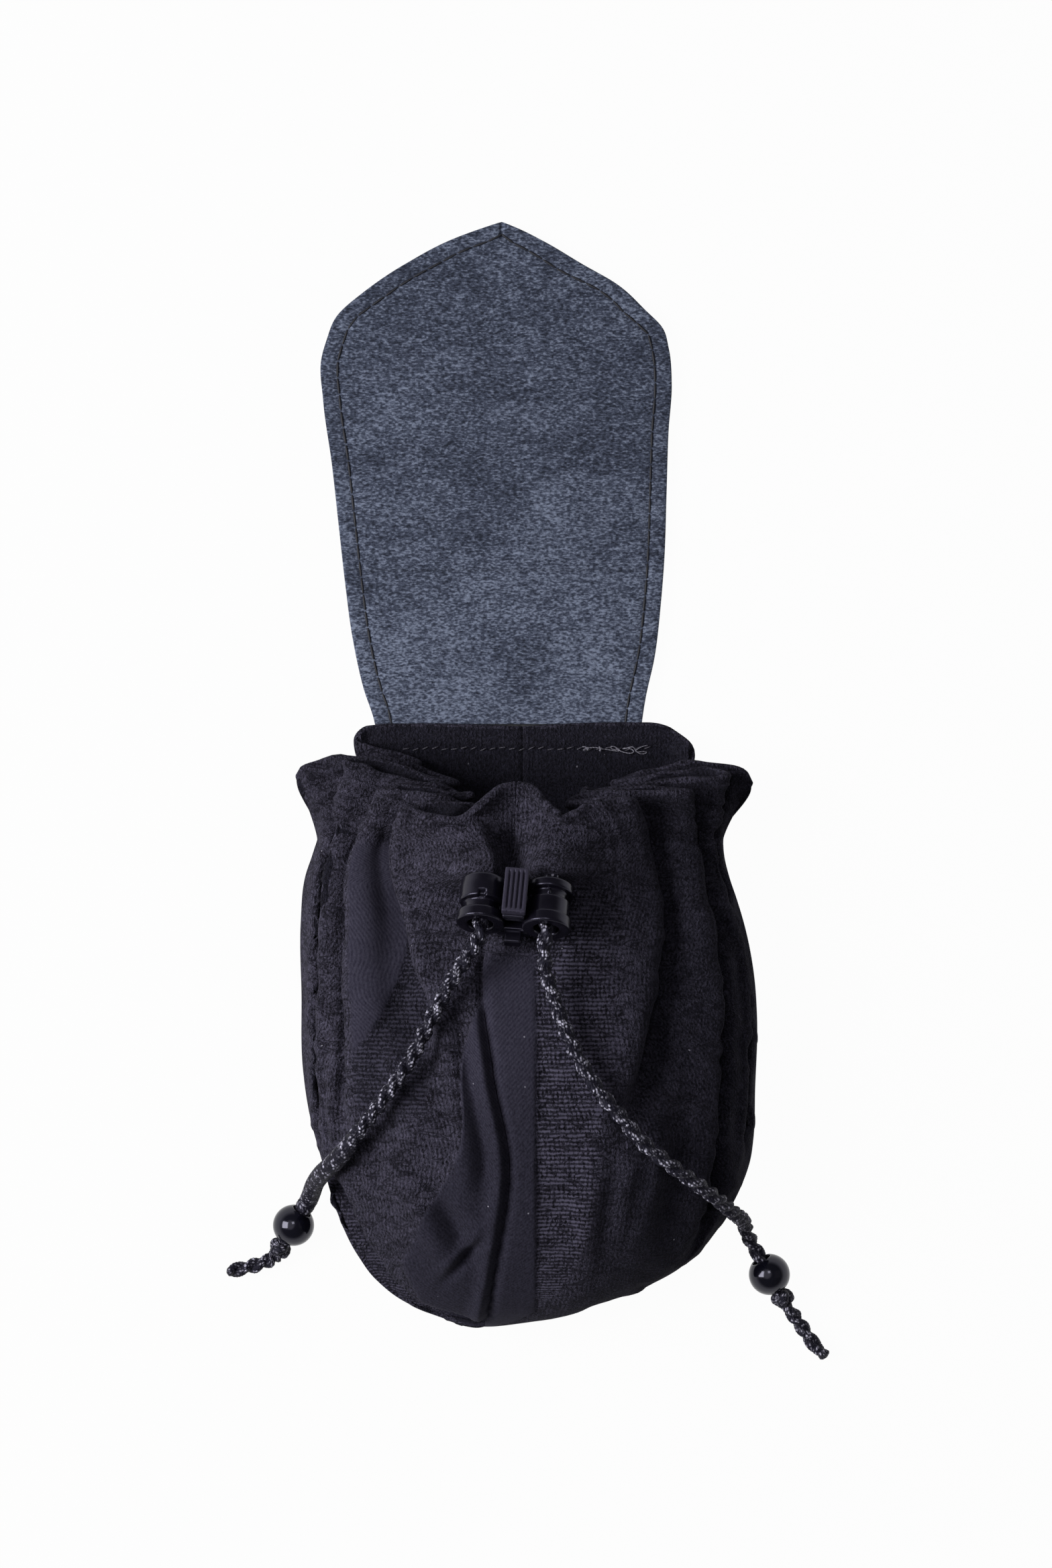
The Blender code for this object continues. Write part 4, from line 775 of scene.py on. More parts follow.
def free_route(side):
    """A free end's middle line: out of its barrel, over the belly, through the bead to its cut end."""
    if side < 0:
        route, tail, bead, axis, run = LEFT_ROUTE, LEFT_TAIL, LEFT_BEAD, LEFT_BEAD_AXIS, LEFT_BEAD_RUN
    else:
        route, tail, bead, axis, run = RIGHT_ROUTE, RIGHT_TAIL, RIGHT_BEAD, RIGHT_BEAD_AXIS, RIGHT_BEAD_RUN
    reaches = (BEAD_RADIUS + run, BEAD_RADIUS, 0, -BEAD_RADIUS, -BEAD_RADIUS - KNOT_HALF,
               -BEAD_RADIUS - 2 * KNOT_HALF)
    points = through_barrel(side, -1) + [np.array(p) / MM for p in route]
    points += [bead + axis * reach for reach in reaches] + [np.array(p) / MM for p in tail]
    return evenly(carried(np.array(points), [ROUTE_STEPS] * (len(points) - 1)), 0.28)


def loop_route():
    """The loop's middle line: from one barrel through its buttonhole, round the neck, and back."""
    ends = []
    for side in (-1, 1):
        strand = through_barrel(side, 1)
        ends.append(strand + [np.array((strand[-1][0] * 0.96, BUTTONHOLE_Y, 32.4))])
    angle = math.pi / 2 + RING_OPEN + 2 * (math.pi - RING_OPEN) * np.linspace(0, 1, 15)
    ring = stacked(RING_HALF_WIDTH * np.cos(angle), NECK_Y, RING_Z + RING_HALF_HEIGHT * np.sin(angle))
    points = np.array(ends[0] + list(ring) + ends[1][::-1])
    return evenly(carried(points, [ROUTE_STEPS] * (len(points) - 1)), 0.4)


def cord_surface(path, reach, reference, settings, plain_from=None, plain_to=None):
    """A twisted cord: two round strands side by side turn about the middle line, one lobe per half turn,
    with the small bumps of the knit; between the plain marks the cord is one round knitted tube. The ends
    close in a rounded, melted tip."""
    tangent = unit(np.gradient(path, axis=0))
    reference = np.array(reference, float)
    across = unit(reference - (tangent @ reference)[:, None] * tangent)
    turn = np.linspace(0, TAU, 30, endpoint=False)
    half = settings.diameter / MM / 2
    strand, offset = half * 0.62, half * 0.38
    phase = turn[None] - math.pi * reach[:, None] / (settings.lobe / MM)
    twisted = offset * np.abs(np.cos(phase)) + np.sqrt(strand ** 2 - (offset * np.sin(phase)) ** 2)
    plain = np.zeros(len(reach))
    if plain_from is not None:
        plain = smoothstep((reach - plain_from) / 12) * smoothstep((plain_to - reach) / 5)
    radius = twisted + (half * 1.16 - twisted) * plain[:, None]
    course = TAU * reach[:, None] / KNIT_PITCH
    radius = radius + 0.11 * np.sin(course + 4 * turn) * np.sin(course - 4 * turn)
    from_end = np.minimum(reach, reach[-1] - reach)
    radius = radius * np.sqrt(np.clip(1 - (1 - np.clip(from_end / 1.3, 0, 1)) ** 2, 0.02, 1))[:, None]
    points = ringed(path, across, np.cross(across, tangent), turn, radius)
    # Share of a lobe's crest, less along the plain tube; the material paints shade in the twist from it
    raised = np.cos(phase) ** 2 * (1 - 0.4 * plain[:, None])
    return *tube(points), stacked(reach[:, None], turn[None] * CORD_ROUND, raised)


def knot_surface(centre, axis, size, wire):
    """A tight overhand knot: a round cord along a trefoil about the axis."""
    t = np.linspace(0, TAU, 120, endpoint=False)
    first = unit(np.cross(axis, (0, 0, 1.0)))
    second = np.cross(axis, first)
    x, y, z = np.sin(t) + 2 * np.sin(2 * t), np.cos(t) - 2 * np.cos(2 * t), -np.sin(3 * t)
    path = centre + size * (x[:, None] * first + y[:, None] * second) + 0.85 * z[:, None] * axis
    ahead = unit(np.roll(path, -1, axis=0) - np.roll(path, 1, axis=0))
    across = unit(axis - (ahead @ axis)[:, None] * ahead)
    turn = np.linspace(0, TAU, 16, endpoint=False)
    radius = wire * (1 + 0.07 * np.sin(12 * t[:, None] + 3 * turn) * np.sin(12 * t[:, None] - 3 * turn))
    points = ringed(path, across, np.cross(across, ahead), turn, radius)
    # A middle share of the twist's painted shade
    mapping = stacked(t[:, None] * 5, turn[None] * CORD_ROUND, 0.5)
    return points, grid_quads(len(t), len(turn), True, True), mapping


# Turned and moulded pieces

def rounded(corners, radius, steps=5):
    """A closed outline with each corner eased: a short curve from just before to just after it."""
    corners = np.array(corners, float)
    before, after = np.roll(corners, 1, axis=0) - corners, np.roll(corners, -1, axis=0) - corners
    room = np.minimum(np.linalg.norm(before, axis=1), np.linalg.norm(after, axis=1)) / 2.05
    reach = np.minimum(radius, room)[:, None]
    start, end = corners + unit(before) * reach, corners + unit(after) * reach
    t = np.linspace(0, 1, steps).reshape(1, -1, 1)
    return ((1 - t) ** 2 * start[:, None] + 2 * t * (1 - t) * corners[:, None]
            + t ** 2 * end[:, None]).reshape(-1, 2)


def turned_piece(outline, steps):
    """A closed outline of (radius, height) carried round the third axis."""
    turn = np.linspace(0, TAU, steps, endpoint=False)[:, None]
    radius, height = outline.T[:, None]
    points = stacked(radius * np.cos(turn), radius * np.sin(turn), height)
    return points, grid_quads(steps, len(outline), True, True)


def lofted_bar(outline, stations, shrink):
    """An outline of (x, z) carried along y through stations; near each end it shrinks by an inset."""
    middle = (outline.max(0) + outline.min(0)) / 2
    half = (outline.max(0) - outline.min(0)) / 2
    darkened = middle + (outline[None] - middle) * (1 - shrink[:, None] / half)[:, None]
    return tube(stacked(darkened[..., 0], stations[:, None], darkened[..., 1]))


def eased_ends(low, high, radius, steps=6):
    """Stations from low to high with a quarter-round inset at both ends."""
    t = np.linspace(0, math.pi / 2, steps)
    ends, inset = radius * (1 - np.cos(t)), radius * (1 - np.sin(t))
    return np.concatenate([low + ends, high - ends[::-1]]), np.concatenate([inset, inset[::-1]])


def capsule_row(centres, headings, length, width, height):
    """Many short stitches lying level: each a capsule of few faces along its heading."""
    along = np.linspace(0, math.pi, 6)[:, None]
    turn = np.linspace(0, TAU, 6, endpoint=False)
    swell = np.sin(along) ** 0.7
    body = stacked(-np.cos(along) * length / 2, swell * np.cos(turn) * width / 2,
                   swell * np.sin(turn) * height / 2)
    headings = unit(headings)
    upward = np.tile((0.0, 0.0, 1.0), (len(centres), 1))
    axes = np.stack([headings, unit(np.cross(upward, headings)), upward], axis=1)
    points = centres[:, None, None] + body @ axes[:, None]
    quads = grid_quads(6, 6, close_columns=True)
    quads = (quads[None] + 36 * np.arange(len(centres))[:, None, None]).reshape(-1, 4)
    caps = [range(36 * k + first, 36 * k + first + 6) for k in range(len(centres)) for first in (0, 30)]
    return points, quads, caps


# Materials

def linear(hex_colour):
    """An sRGB hex colour as linear red, green, blue and alpha."""
    shares = [int(hex_colour[i:i + 2], 16) / 255 for i in (0, 2, 4)]
    return tuple(c / 12.92 if c <= 0.04045 else ((c + 0.055) / 1.055) ** 2.4 for c in shares) + (1.0,)


def new_material(name):
    """An empty material, its node tree and its shader."""
    material = bpy.data.materials.new(name)
    material.use_nodes = True
    return material, material.node_tree, material.node_tree.nodes["Principled BSDF"]


def once(name, maker, *values):
    """The material of this name, made on its first use."""
    return bpy.data.materials.get(name) or maker(*values)


def feed(target, inputs):
    """Sets a node's inputs, in order or by key, to values, sockets or nodes (their first output in use)."""
    for key, value in inputs.items() if isinstance(inputs, dict) else enumerate(inputs):
        if isinstance(value, bpy.types.Node):
            value = next(socket for socket in value.outputs if socket.enabled)
        if isinstance(value, bpy.types.NodeSocket):
            target.id_data.links.new(value, target.inputs[key])
        else:
            target.inputs[key].default_value = value


def node(tree, kind, inputs=(), **settings):
    """Adds one node with its settings, values and links."""
    made = tree.nodes.new(kind)
    for key, value in settings.items():
        setattr(made, key, value)
    feed(made, inputs)
    return made


def velvet_jacquard(settings):
    """Woven cotton velvet: short plush with clumps, ribbed and plain twill patches, dull, with a weak pale
    sheen and specks of lint; its inner face is a darker plain weave, whose tone also paints shade on the
    outer face."""
    material, tree, shader = new_material("cotton_velvet_jacquard")
    place = node(tree, "ShaderNodeAttribute", attribute_name="surface_mm").outputs["Vector"]
    weave = node(tree, "ShaderNodeAttribute", attribute_name="weave").outputs["Vector"]
    # The third share: the inner face's own tone, and painted shade on the outer face
    twill, ribbed, lining_and_shade = node(tree, "ShaderNodeSeparateXYZ", [weave]).outputs
    across, along, _ = node(tree, "ShaderNodeSeparateXYZ", [place]).outputs
    solid = node(tree, "ShaderNodeTexCoord").outputs["Object"]
    # Tufts 0.5 to 0.8 mm wide, drawn coarser than the real pile so that they show
    strokes = node(tree, "ShaderNodeMapping", {"Vector": solid, "Scale": (2100.0, 1300.0, 1600.0)})
    strokes = node(tree, "ShaderNodeTexNoise", {"Vector": strokes, "Scale": 1.0, "Detail": 2.0,
                                                "Roughness": 0.75, "Distortion": 0.5})
    # Clumps 3 to 5 mm wide, and dark cracks 2.5 to 7 mm apart where the pile parts
    clumps = node(tree, "ShaderNodeMapping", {"Vector": solid, "Scale": (190.0, 300.0, 240.0)})
    clumps = node(tree, "ShaderNodeTexNoise", {"Vector": clumps, "Scale": 1.0, "Detail": 2.0})
    cracks = node(tree, "ShaderNodeMapping", {"Vector": solid, "Scale": (150.0, 400.0, 220.0)})
    cracks = node(tree, "ShaderNodeTexNoise", {"Vector": cracks, "Scale": 1.0, "Detail": 3.0,
                                               "Distortion": 0.8})
    cracks = node(tree, "ShaderNodeMath", (cracks, 0.44), operation="SUBTRACT")
    cracks = node(tree, "ShaderNodeMath", (cracks,), operation="ABSOLUTE")
    cracks = node(tree, "ShaderNodeMapRange", (cracks, 0.0, 0.045, 0.12, 1.0))
    # Faint cords of the pile, 1.15 mm apart
    wave = node(tree, "ShaderNodeMath", (across, TAU / 1.15, clumps.outputs["Color"]),
                operation="MULTIPLY_ADD")
    wave = node(tree, "ShaderNodeMath", (wave,), operation="SINE")
    plush = node(tree, "ShaderNodeMath", (clumps, 0.3, strokes), operation="MULTIPLY_ADD")
    plush = node(tree, "ShaderNodeMath", (wave, 0.05, plush), operation="MULTIPLY_ADD")
    plush = node(tree, "ShaderNodeMapRange", (plush, 0.48, 0.86))
    plush = node(tree, "ShaderNodeMath", (plush, cracks), operation="MULTIPLY")
    # Ribs and twill lines, drawn as coarse as they need to show
    wobble = node(tree, "ShaderNodeTexNoise", {"Vector": place, "Scale": 0.3, "Detail": 2.0})
    row = node(tree, "ShaderNodeMath", (along, TAU / (settings.rib_pitch / MM)), operation="MULTIPLY")
    row = node(tree, "ShaderNodeMath", (wobble, 4.0, row), operation="MULTIPLY_ADD")
    rib = node(tree, "ShaderNodeMath", (row,), operation="SINE")
    rib = node(tree, "ShaderNodeMapRange", (rib, -0.8, 0.9, 0.15, 1.0))
    rib = node(tree, "ShaderNodeMath", (rib, plush), operation="MULTIPLY")
    rib = node(tree, "ShaderNodeMath", (rib, 3.0), operation="MULTIPLY", use_clamp=True)
    slope = node(tree, "ShaderNodeMath", (across, along), operation="ADD")
    slope = node(tree, "ShaderNodeMath", (slope, TAU / (settings.twill_pitch / MM * 1.414)),
                 operation="MULTIPLY")
    wale = node(tree, "ShaderNodeMath", (slope,), operation="SINE")
    wale = node(tree, "ShaderNodeMath", (wale, 0.1, strokes), operation="MULTIPLY_ADD")
    wale = node(tree, "ShaderNodeMapRange", (wale, 0.2, 0.8))
    pile = node(tree, "ShaderNodeMix", {0: ribbed, 2: plush, 3: rib})
    furred = node(tree, "ShaderNodeMix", {0: pile, 6: linear(settings.ground), 7: linear(settings.pile)},
                  data_type="RGBA")
    plain = node(tree, "ShaderNodeMix", {0: wale, 6: linear("1e1c29"), 7: linear(settings.twill)},
                 data_type="RGBA")
    woven = node(tree, "ShaderNodeMix", {0: twill, 6: furred, 7: plain}, data_type="RGBA")
    # The inner face's darker plain weave; laid on the outer face by the third share, the same dark tone is
    # painted shade
    inner_and_shade_tone = node(tree, "ShaderNodeMapRange", (strokes, 0.36, 0.64))
    inner_and_shade_tone = node(tree, "ShaderNodeMix", {0: inner_and_shade_tone, 6: linear("0d0c13"), 7: linear(settings.lining_and_shade)},
                   data_type="RGBA")
    woven = node(tree, "ShaderNodeMix", {0: lining_and_shade, 6: woven, 7: inner_and_shade_tone}, data_type="RGBA")
    # Lint specks about 0.4 mm across, one in every 7 mm
    specks = node(tree, "ShaderNodeTexVoronoi", {"Vector": place, "Scale": 0.14, "Randomness": 1.0})
    specks = node(tree, "ShaderNodeMapRange", (specks, 0.035, 0.02))
    linted = node(tree, "ShaderNodeMix", {0: specks, 6: woven, 7: linear("8d8b98")}, data_type="RGBA")
    relief = node(tree, "ShaderNodeMix", {0: twill, 2: pile, 3: 0.6})
    bump = node(tree, "ShaderNodeBump", {"Height": relief, "Strength": 0.8, "Distance": 0.0005})
    bump = node(tree, "ShaderNodeBump", {"Height": wale, "Strength": 0.25, "Distance": 0.0002,
                                         "Normal": bump})
    feed(shader, {"Base Color": linted, "Normal": bump, "Roughness": 0.95, "Specular IOR Level": 0.12,
                  "Sheen Weight": 0.06, "Sheen Roughness": 0.5, "Sheen Tint": linear("b7b3cc")})
    return material


def knitted_cord(settings):
    """Knitted polyester cord in dark and pale yarn: small loops in relief, and painted shade in the twist,
    where the pale yarn fades to dark between the lobes.
    """
    material, tree, shader = new_material("knitted_polyester_cord")
    place = node(tree, "ShaderNodeAttribute", attribute_name="surface_mm").outputs["Vector"]
    lobe = node(tree, "ShaderNodeSeparateXYZ", [place]).outputs[2]
    # Loops of yarn 0.6 to 0.8 mm long, drawn coarser than they are so that they show
    loops = node(tree, "ShaderNodeMapping", {"Vector": place, "Scale": (1.0, 1.35, 0.0)})
    cells = node(tree, "ShaderNodeTexVoronoi", {"Vector": loops, "Scale": 1.2, "Randomness": 0.75})
    tone = node(tree, "ShaderNodeSeparateColor", [cells.outputs["Color"]])
    pale = node(tree, "ShaderNodeMapRange", (tone, 0.32, 0.64))
    strand = node(tree, "ShaderNodeMapRange", (cells, 0.2, 0.62, 1.0, 0.0))
    pale = node(tree, "ShaderNodeMath", (pale, strand), operation="MULTIPLY")
    # Painted shade in the twist: the pale yarn fades to dark away from the lobes' crests
    high = node(tree, "ShaderNodeMapRange", (lobe, 0.05, 0.75, 0.06, 1.0))
    pale = node(tree, "ShaderNodeMath", (pale, high), operation="MULTIPLY")
    yarn = node(tree, "ShaderNodeMix", {0: pale, 6: linear(settings.dark), 7: linear(settings.light)},
                data_type="RGBA")
    bump = node(tree, "ShaderNodeBump", {"Height": strand, "Strength": 0.8, "Distance": 0.0003})
    feed(shader, {"Base Color": yarn, "Normal": bump, "Roughness": 0.6, "Specular IOR Level": 0.25,
                  "Specular Tint": linear("cfccec")})
    return material


def napped_suede(settings):
    """Split leather with a short brushed nap: mottled grey-blue, dull, with fine marks across."""
    material, tree, shader = new_material("napped_suede")
    place = node(tree, "ShaderNodeTexCoord").outputs["Object"]
    # Brush marks 3 mm by 1 mm, fibres 0.8 by 0.4 mm drawn coarse enough to show, and clouds 16 to 26 mm wide
    nap = node(tree, "ShaderNodeMapping", {"Vector": place, "Scale": (330.0, 1050.0, 300.0)})
    nap = node(tree, "ShaderNodeTexNoise", {"Vector": nap, "Scale": 1.0, "Detail": 4.0, "Roughness": 0.7,
                                            "Distortion": 0.6})
    grain = node(tree, "ShaderNodeMapping", {"Vector": place, "Scale": (1200.0, 2300.0, 1500.0)})
    grain = node(tree, "ShaderNodeTexNoise", {"Vector": grain, "Scale": 1.0, "Detail": 2.0})
    cloud = node(tree, "ShaderNodeMapping", {"Vector": place, "Scale": (38.0, 62.0, 40.0)})
    cloud = node(tree, "ShaderNodeTexNoise", {"Vector": cloud, "Scale": 1.0, "Detail": 5.0, "Roughness": 0.65,
                                              "Distortion": 0.8})
    # Worn paler towards the bag, from 150 mm down to 85 mm
    height = node(tree, "ShaderNodeSeparateXYZ", [place]).outputs[1]
    worn = node(tree, "ShaderNodeMapRange", (height, 0.15, 0.085, -0.06, 0.1))
    grain = node(tree, "ShaderNodeMath", (grain, 2.5, -0.75), operation="MULTIPLY_ADD")
    fine = node(tree, "ShaderNodeMath", (nap, grain), operation="ADD")
    tone = node(tree, "ShaderNodeMath", (cloud, 0.95, fine), operation="MULTIPLY_ADD")
    tone = node(tree, "ShaderNodeMath", (tone, worn), operation="ADD")
    pale = node(tree, "ShaderNodeMapRange", (tone, 1.45, 2.05))
    deep = node(tree, "ShaderNodeMapRange", (tone, 1.42, 0.95))
    colour = node(tree, "ShaderNodeMix", {0: pale, 6: linear(settings.suede), 7: linear(settings.suede_pale)},
                  data_type="RGBA")
    colour = node(tree, "ShaderNodeMix", {0: deep, 6: colour, 7: linear(settings.suede_deep)},
                  data_type="RGBA")
    bump = node(tree, "ShaderNodeBump", {"Height": fine, "Strength": 0.4, "Distance": 0.0003})
    feed(shader, {"Base Color": colour, "Normal": bump, "Roughness": 0.95, "Specular IOR Level": 0.2,
                  "Sheen Weight": 0.15, "Sheen Roughness": 0.5, "Sheen Tint": linear("aab2c6")})
    return material


def grain_leather(settings):
    """Dyed cow leather, grain side: near black with a fine pebbled grain and a soft gloss."""
    material, tree, shader = new_material("grain_leather")
    place = node(tree, "ShaderNodeTexCoord").outputs["Object"]
    # Pebbles 1 mm wide and rubbed patches 14 mm wide
    pebble = node(tree, "ShaderNodeTexVoronoi", {"Vector": place, "Scale": 950.0}, feature="SMOOTH_F1")
    broad = node(tree, "ShaderNodeTexNoise", {"Vector": place, "Scale": 70.0, "Detail": 4.0})
    rub = node(tree, "ShaderNodeMapRange", (broad, 0.45, 0.75))
    colour = node(tree, "ShaderNodeMix", {0: rub, 6: linear(settings.leather), 7: linear("2b2b31")},
                  data_type="RGBA")
    gloss = node(tree, "ShaderNodeMapRange", (broad, 0.3, 0.7, 0.42, 0.6))
    bump = node(tree, "ShaderNodeBump", {"Height": pebble, "Strength": 0.35, "Distance": 0.0004})
    feed(shader, {"Base Color": colour, "Roughness": gloss, "Normal": bump, "IOR": 1.5})
    return material


def moulded_acetal(settings):
    """Injection-moulded acetal: satin black, finely spark-eroded, with soft highlights along the edges."""
    material, tree, shader = new_material("moulded_acetal")
    place = node(tree, "ShaderNodeTexCoord").outputs["Object"]
    # Spark pits 0.4 mm wide, drawn coarse enough to show, and rubbed patches 4 mm wide
    spark = node(tree, "ShaderNodeTexNoise", {"Vector": place, "Scale": 2600.0, "Detail": 2.0})
    rub = node(tree, "ShaderNodeTexNoise", {"Vector": place, "Scale": 240.0, "Detail": 3.0})
    gloss = node(tree, "ShaderNodeMapRange", (rub, 0.3, 0.7, 0.2, 0.3))
    tone = node(tree, "ShaderNodeMix", {0: rub, 6: linear(settings.acetal), 7: linear("13111a")},
                data_type="RGBA")
    bump = node(tree, "ShaderNodeBump", {"Height": spark, "Strength": 0.12, "Distance": 0.0001})
    feed(shader, {"Base Color": tone, "Roughness": gloss, "Normal": bump, "IOR": 1.48,
                  "Specular Tint": linear("d0cdec")})
    return material


def eroded_acetal():
    """The same acetal with a coarse spark-eroded face: matt dark grey."""
    material, tree, shader = new_material("eroded_acetal")
    place = node(tree, "ShaderNodeTexCoord").outputs["Object"]
    # Spark pits 0.45 mm wide, drawn coarse enough to show
    spark = node(tree, "ShaderNodeTexNoise", {"Vector": place, "Scale": 2200.0, "Detail": 2.0})
    tone = node(tree, "ShaderNodeMix", {0: spark, 6: linear("201d29"), 7: linear("383543")}, data_type="RGBA")
    bump = node(tree, "ShaderNodeBump", {"Height": spark, "Strength": 0.2, "Distance": 0.0001})
    feed(shader, {"Base Color": tone, "Normal": bump, "Roughness": 0.55, "IOR": 1.48,
                  "Specular Tint": linear("d0cdec")})
    return material


def polished_resin(settings):
    """Cast resin, tumble-polished: deep black with a clear gloss and the faintest haze."""
    material, tree, shader = new_material("polished_resin")
    place = node(tree, "ShaderNodeTexCoord").outputs["Object"]
    # Haze in patches 2.4 mm wide
    haze = node(tree, "ShaderNodeTexNoise", {"Vector": place, "Scale": 420.0, "Detail": 3.0})
    gloss = node(tree, "ShaderNodeMapRange", (haze, 0.3, 0.7, 0.1, 0.17))
    tone = node(tree, "ShaderNodeMix", {0: haze, 6: linear(settings.resin), 7: linear("12121d")},
                data_type="RGBA")
    feed(shader, {"Base Color": tone, "Roughness": gloss, "IOR": 1.5, "Specular Tint": linear("e2e0f6")})
    return material


def cotton_tape():
    """Woven cotton tape: a fine herringbone in matt black."""
    material, tree, shader = new_material("woven_cotton_tape")
    place = node(tree, "ShaderNodeAttribute", attribute_name="surface_mm").outputs["Vector"]
    # Lines 1 mm apart, drawn coarse enough to show
    weave = node(tree, "ShaderNodeTexWave", {"Vector": place, "Scale": 0.45, "Distortion": 1.0},
                 bands_direction="DIAGONAL").outputs["Fac"]
    tone = node(tree, "ShaderNodeMix", {0: weave, 6: linear("101013"), 7: linear("26252b")}, data_type="RGBA")
    bump = node(tree, "ShaderNodeBump", {"Height": weave, "Strength": 0.4, "Distance": 0.0002})
    feed(shader, {"Base Color": tone, "Normal": bump, "Roughness": 0.9})
    return material


def spun_thread(name, hex_dark, hex_light):
    """Spun polyester sewing thread: twisted plies with a slight gleam."""
    material, tree, shader = new_material(name)
    place = node(tree, "ShaderNodeTexCoord").outputs["Object"]
    # Plies 0.4 mm apart, drawn coarse enough to show
    plies = node(tree, "ShaderNodeTexWave", {"Vector": place, "Scale": 900.0, "Distortion": 2.0},
                 bands_direction="DIAGONAL").outputs["Fac"]
    tone = node(tree, "ShaderNodeMix", {0: plies, 6: linear(hex_dark), 7: linear(hex_light)},
                data_type="RGBA")
    feed(shader, {"Base Color": tone, "Roughness": 0.6})
    return material


def spring_wire():
    """Drawn spring steel: grey and bright with fine lines along the wire."""
    material, tree, shader = new_material("spring_steel")
    place = node(tree, "ShaderNodeTexCoord").outputs["Object"]
    # Drawing lines 0.3 mm wide, drawn coarse enough to show
    lines = node(tree, "ShaderNodeTexNoise", {"Vector": place, "Scale": 3000.0, "Detail": 2.0})
    gloss = node(tree, "ShaderNodeMapRange", (lines, 0.3, 0.7, 0.25, 0.4))
    tone = node(tree, "ShaderNodeMix", {0: lines, 6: linear("8d8d8c"), 7: linear("b5b4b0")}, data_type="RGBA")
    feed(shader, {"Base Color": tone, "Roughness": gloss, "Metallic": 1.0})
    return material


def seen_ray(tree):
    """One for rays that see a surface directly, in gloss or through it; and the light path's outputs."""
    path = node(tree, "ShaderNodeLightPath").outputs
    seen = node(tree, "ShaderNodeMath", (path["Is Camera Ray"], path["Is Transmission Ray"]),
                operation="MAXIMUM")
    return node(tree, "ShaderNodeMath", (seen, path["Is Glossy Ray"]), operation="MAXIMUM"), path


def pale_floor(settings):
    """Matt pale board that shows as white to the eye and in reflections, keeps a trace of the shadow, and is
    clear from below."""
    material, tree, shader = new_material("pale_floor")
    feed(shader, {"Base Color": linear(settings.floor), "Roughness": 0.9, "Specular IOR Level": 0.0})
    share = node(tree, "ShaderNodeMath", (seen_ray(tree)[0], 0.97), operation="MULTIPLY")
    white = node(tree, "ShaderNodeEmission", {"Color": (1.0, 1.0, 1.0, 1.0), "Strength": 1.0})
    mixed = node(tree, "ShaderNodeMixShader", (share, shader, white))
    below = node(tree, "ShaderNodeNewGeometry").outputs["Backfacing"]
    mixed = node(tree, "ShaderNodeMixShader", (below, mixed, node(tree, "ShaderNodeBsdfTransparent")))
    feed(tree.nodes["Material Output"], {"Surface": mixed})
    return material


def surroundings(settings):
    """Even light all round: white where it is seen, weak as light, and dim overhead in reflections, apart
    from a window up and to the left."""
    world = bpy.data.worlds.new("surroundings")
    world.use_nodes = True
    tree = world.node_tree
    seen, path = seen_ray(tree)
    glossy = node(tree, "ShaderNodeMath", (path["Is Glossy Ray"], path["Is Camera Ray"]),
                  operation="SUBTRACT")
    around = node(tree, "ShaderNodeTexCoord").outputs["Generated"]
    upward = node(tree, "ShaderNodeSeparateXYZ", [around]).outputs[2]
    overhead = node(tree, "ShaderNodeMapRange", (upward, 0.04, 0.4, 0.0, 0.9))
    dim = node(tree, "ShaderNodeMath", (glossy, overhead), operation="MULTIPLY", use_clamp=True)
    toward = node(tree, "ShaderNodeVectorMath", (around, (-0.3, 0.12, 0.946)), operation="DOT_PRODUCT")
    window = node(tree, "ShaderNodeMapRange", (toward, 0.87, 0.95, 1.0, 0.0))
    dim = node(tree, "ShaderNodeMath", (dim, window), operation="MULTIPLY")
    level = node(tree, "ShaderNodeMapRange", {0: seen, 3: settings.sky, 4: 1.0})
    level = node(tree, "ShaderNodeMath", (level, dim), operation="SUBTRACT", use_clamp=True)
    feed(tree.nodes["Background"], {"Strength": level, "Color": (1.0, 1.0, 1.0, 1.0)})
    return world


# Operators

class DICEBAG_OT_stage(bpy.types.Operator):
    """Camera above the bag, floor, soft lights and even surroundings"""
    bl_idname = "dicebag.stage"
    bl_label = "Stage"

    def execute(self, context):
        settings = context.scene.dice_bag.stage
        camera = bpy.data.cameras.new("camera")
        camera.sensor_fit = "VERTICAL"
        camera.sensor_height = SENSOR_HEIGHT
        camera.lens = SENSOR_HEIGHT * CAMERA_PLACE[2] / VIEW_HEIGHT
        viewer = bpy.data.objects.new("camera", camera)
        viewer.location = CAMERA_PLACE
        context.scene.collection.objects.link(viewer)
        context.scene.camera = viewer
        context.scene.view_settings.view_transform = "Standard"
        for name, place, size in LAMPS:
            lamp = bpy.data.lights.new(name, "AREA")
            lamp.energy, lamp.size, lamp.shape = getattr(settings, name), size, "SQUARE"
            holder = bpy.data.objects.new(name, lamp)
            toward = unit(np.array(LAMP_AIM) - np.array(place))
            holder.location = place
            holder.rotation_euler = (math.acos(-toward[2]), 0.0, math.atan2(toward[0], -toward[1]) + math.pi)
            context.scene.collection.objects.link(holder)
        context.scene.world = surroundings(settings)
        corners = np.array([(x * FLOOR_REACH, y * FLOOR_REACH, FLOOR_Z)
                            for x, y in ((-1, -1), (1, -1), (1, 1), (-1, 1))])
        floor = make_piece("floor", corners, np.array(((0, 1, 2, 3),)), pale_floor(settings))
        return {"FINISHED"}


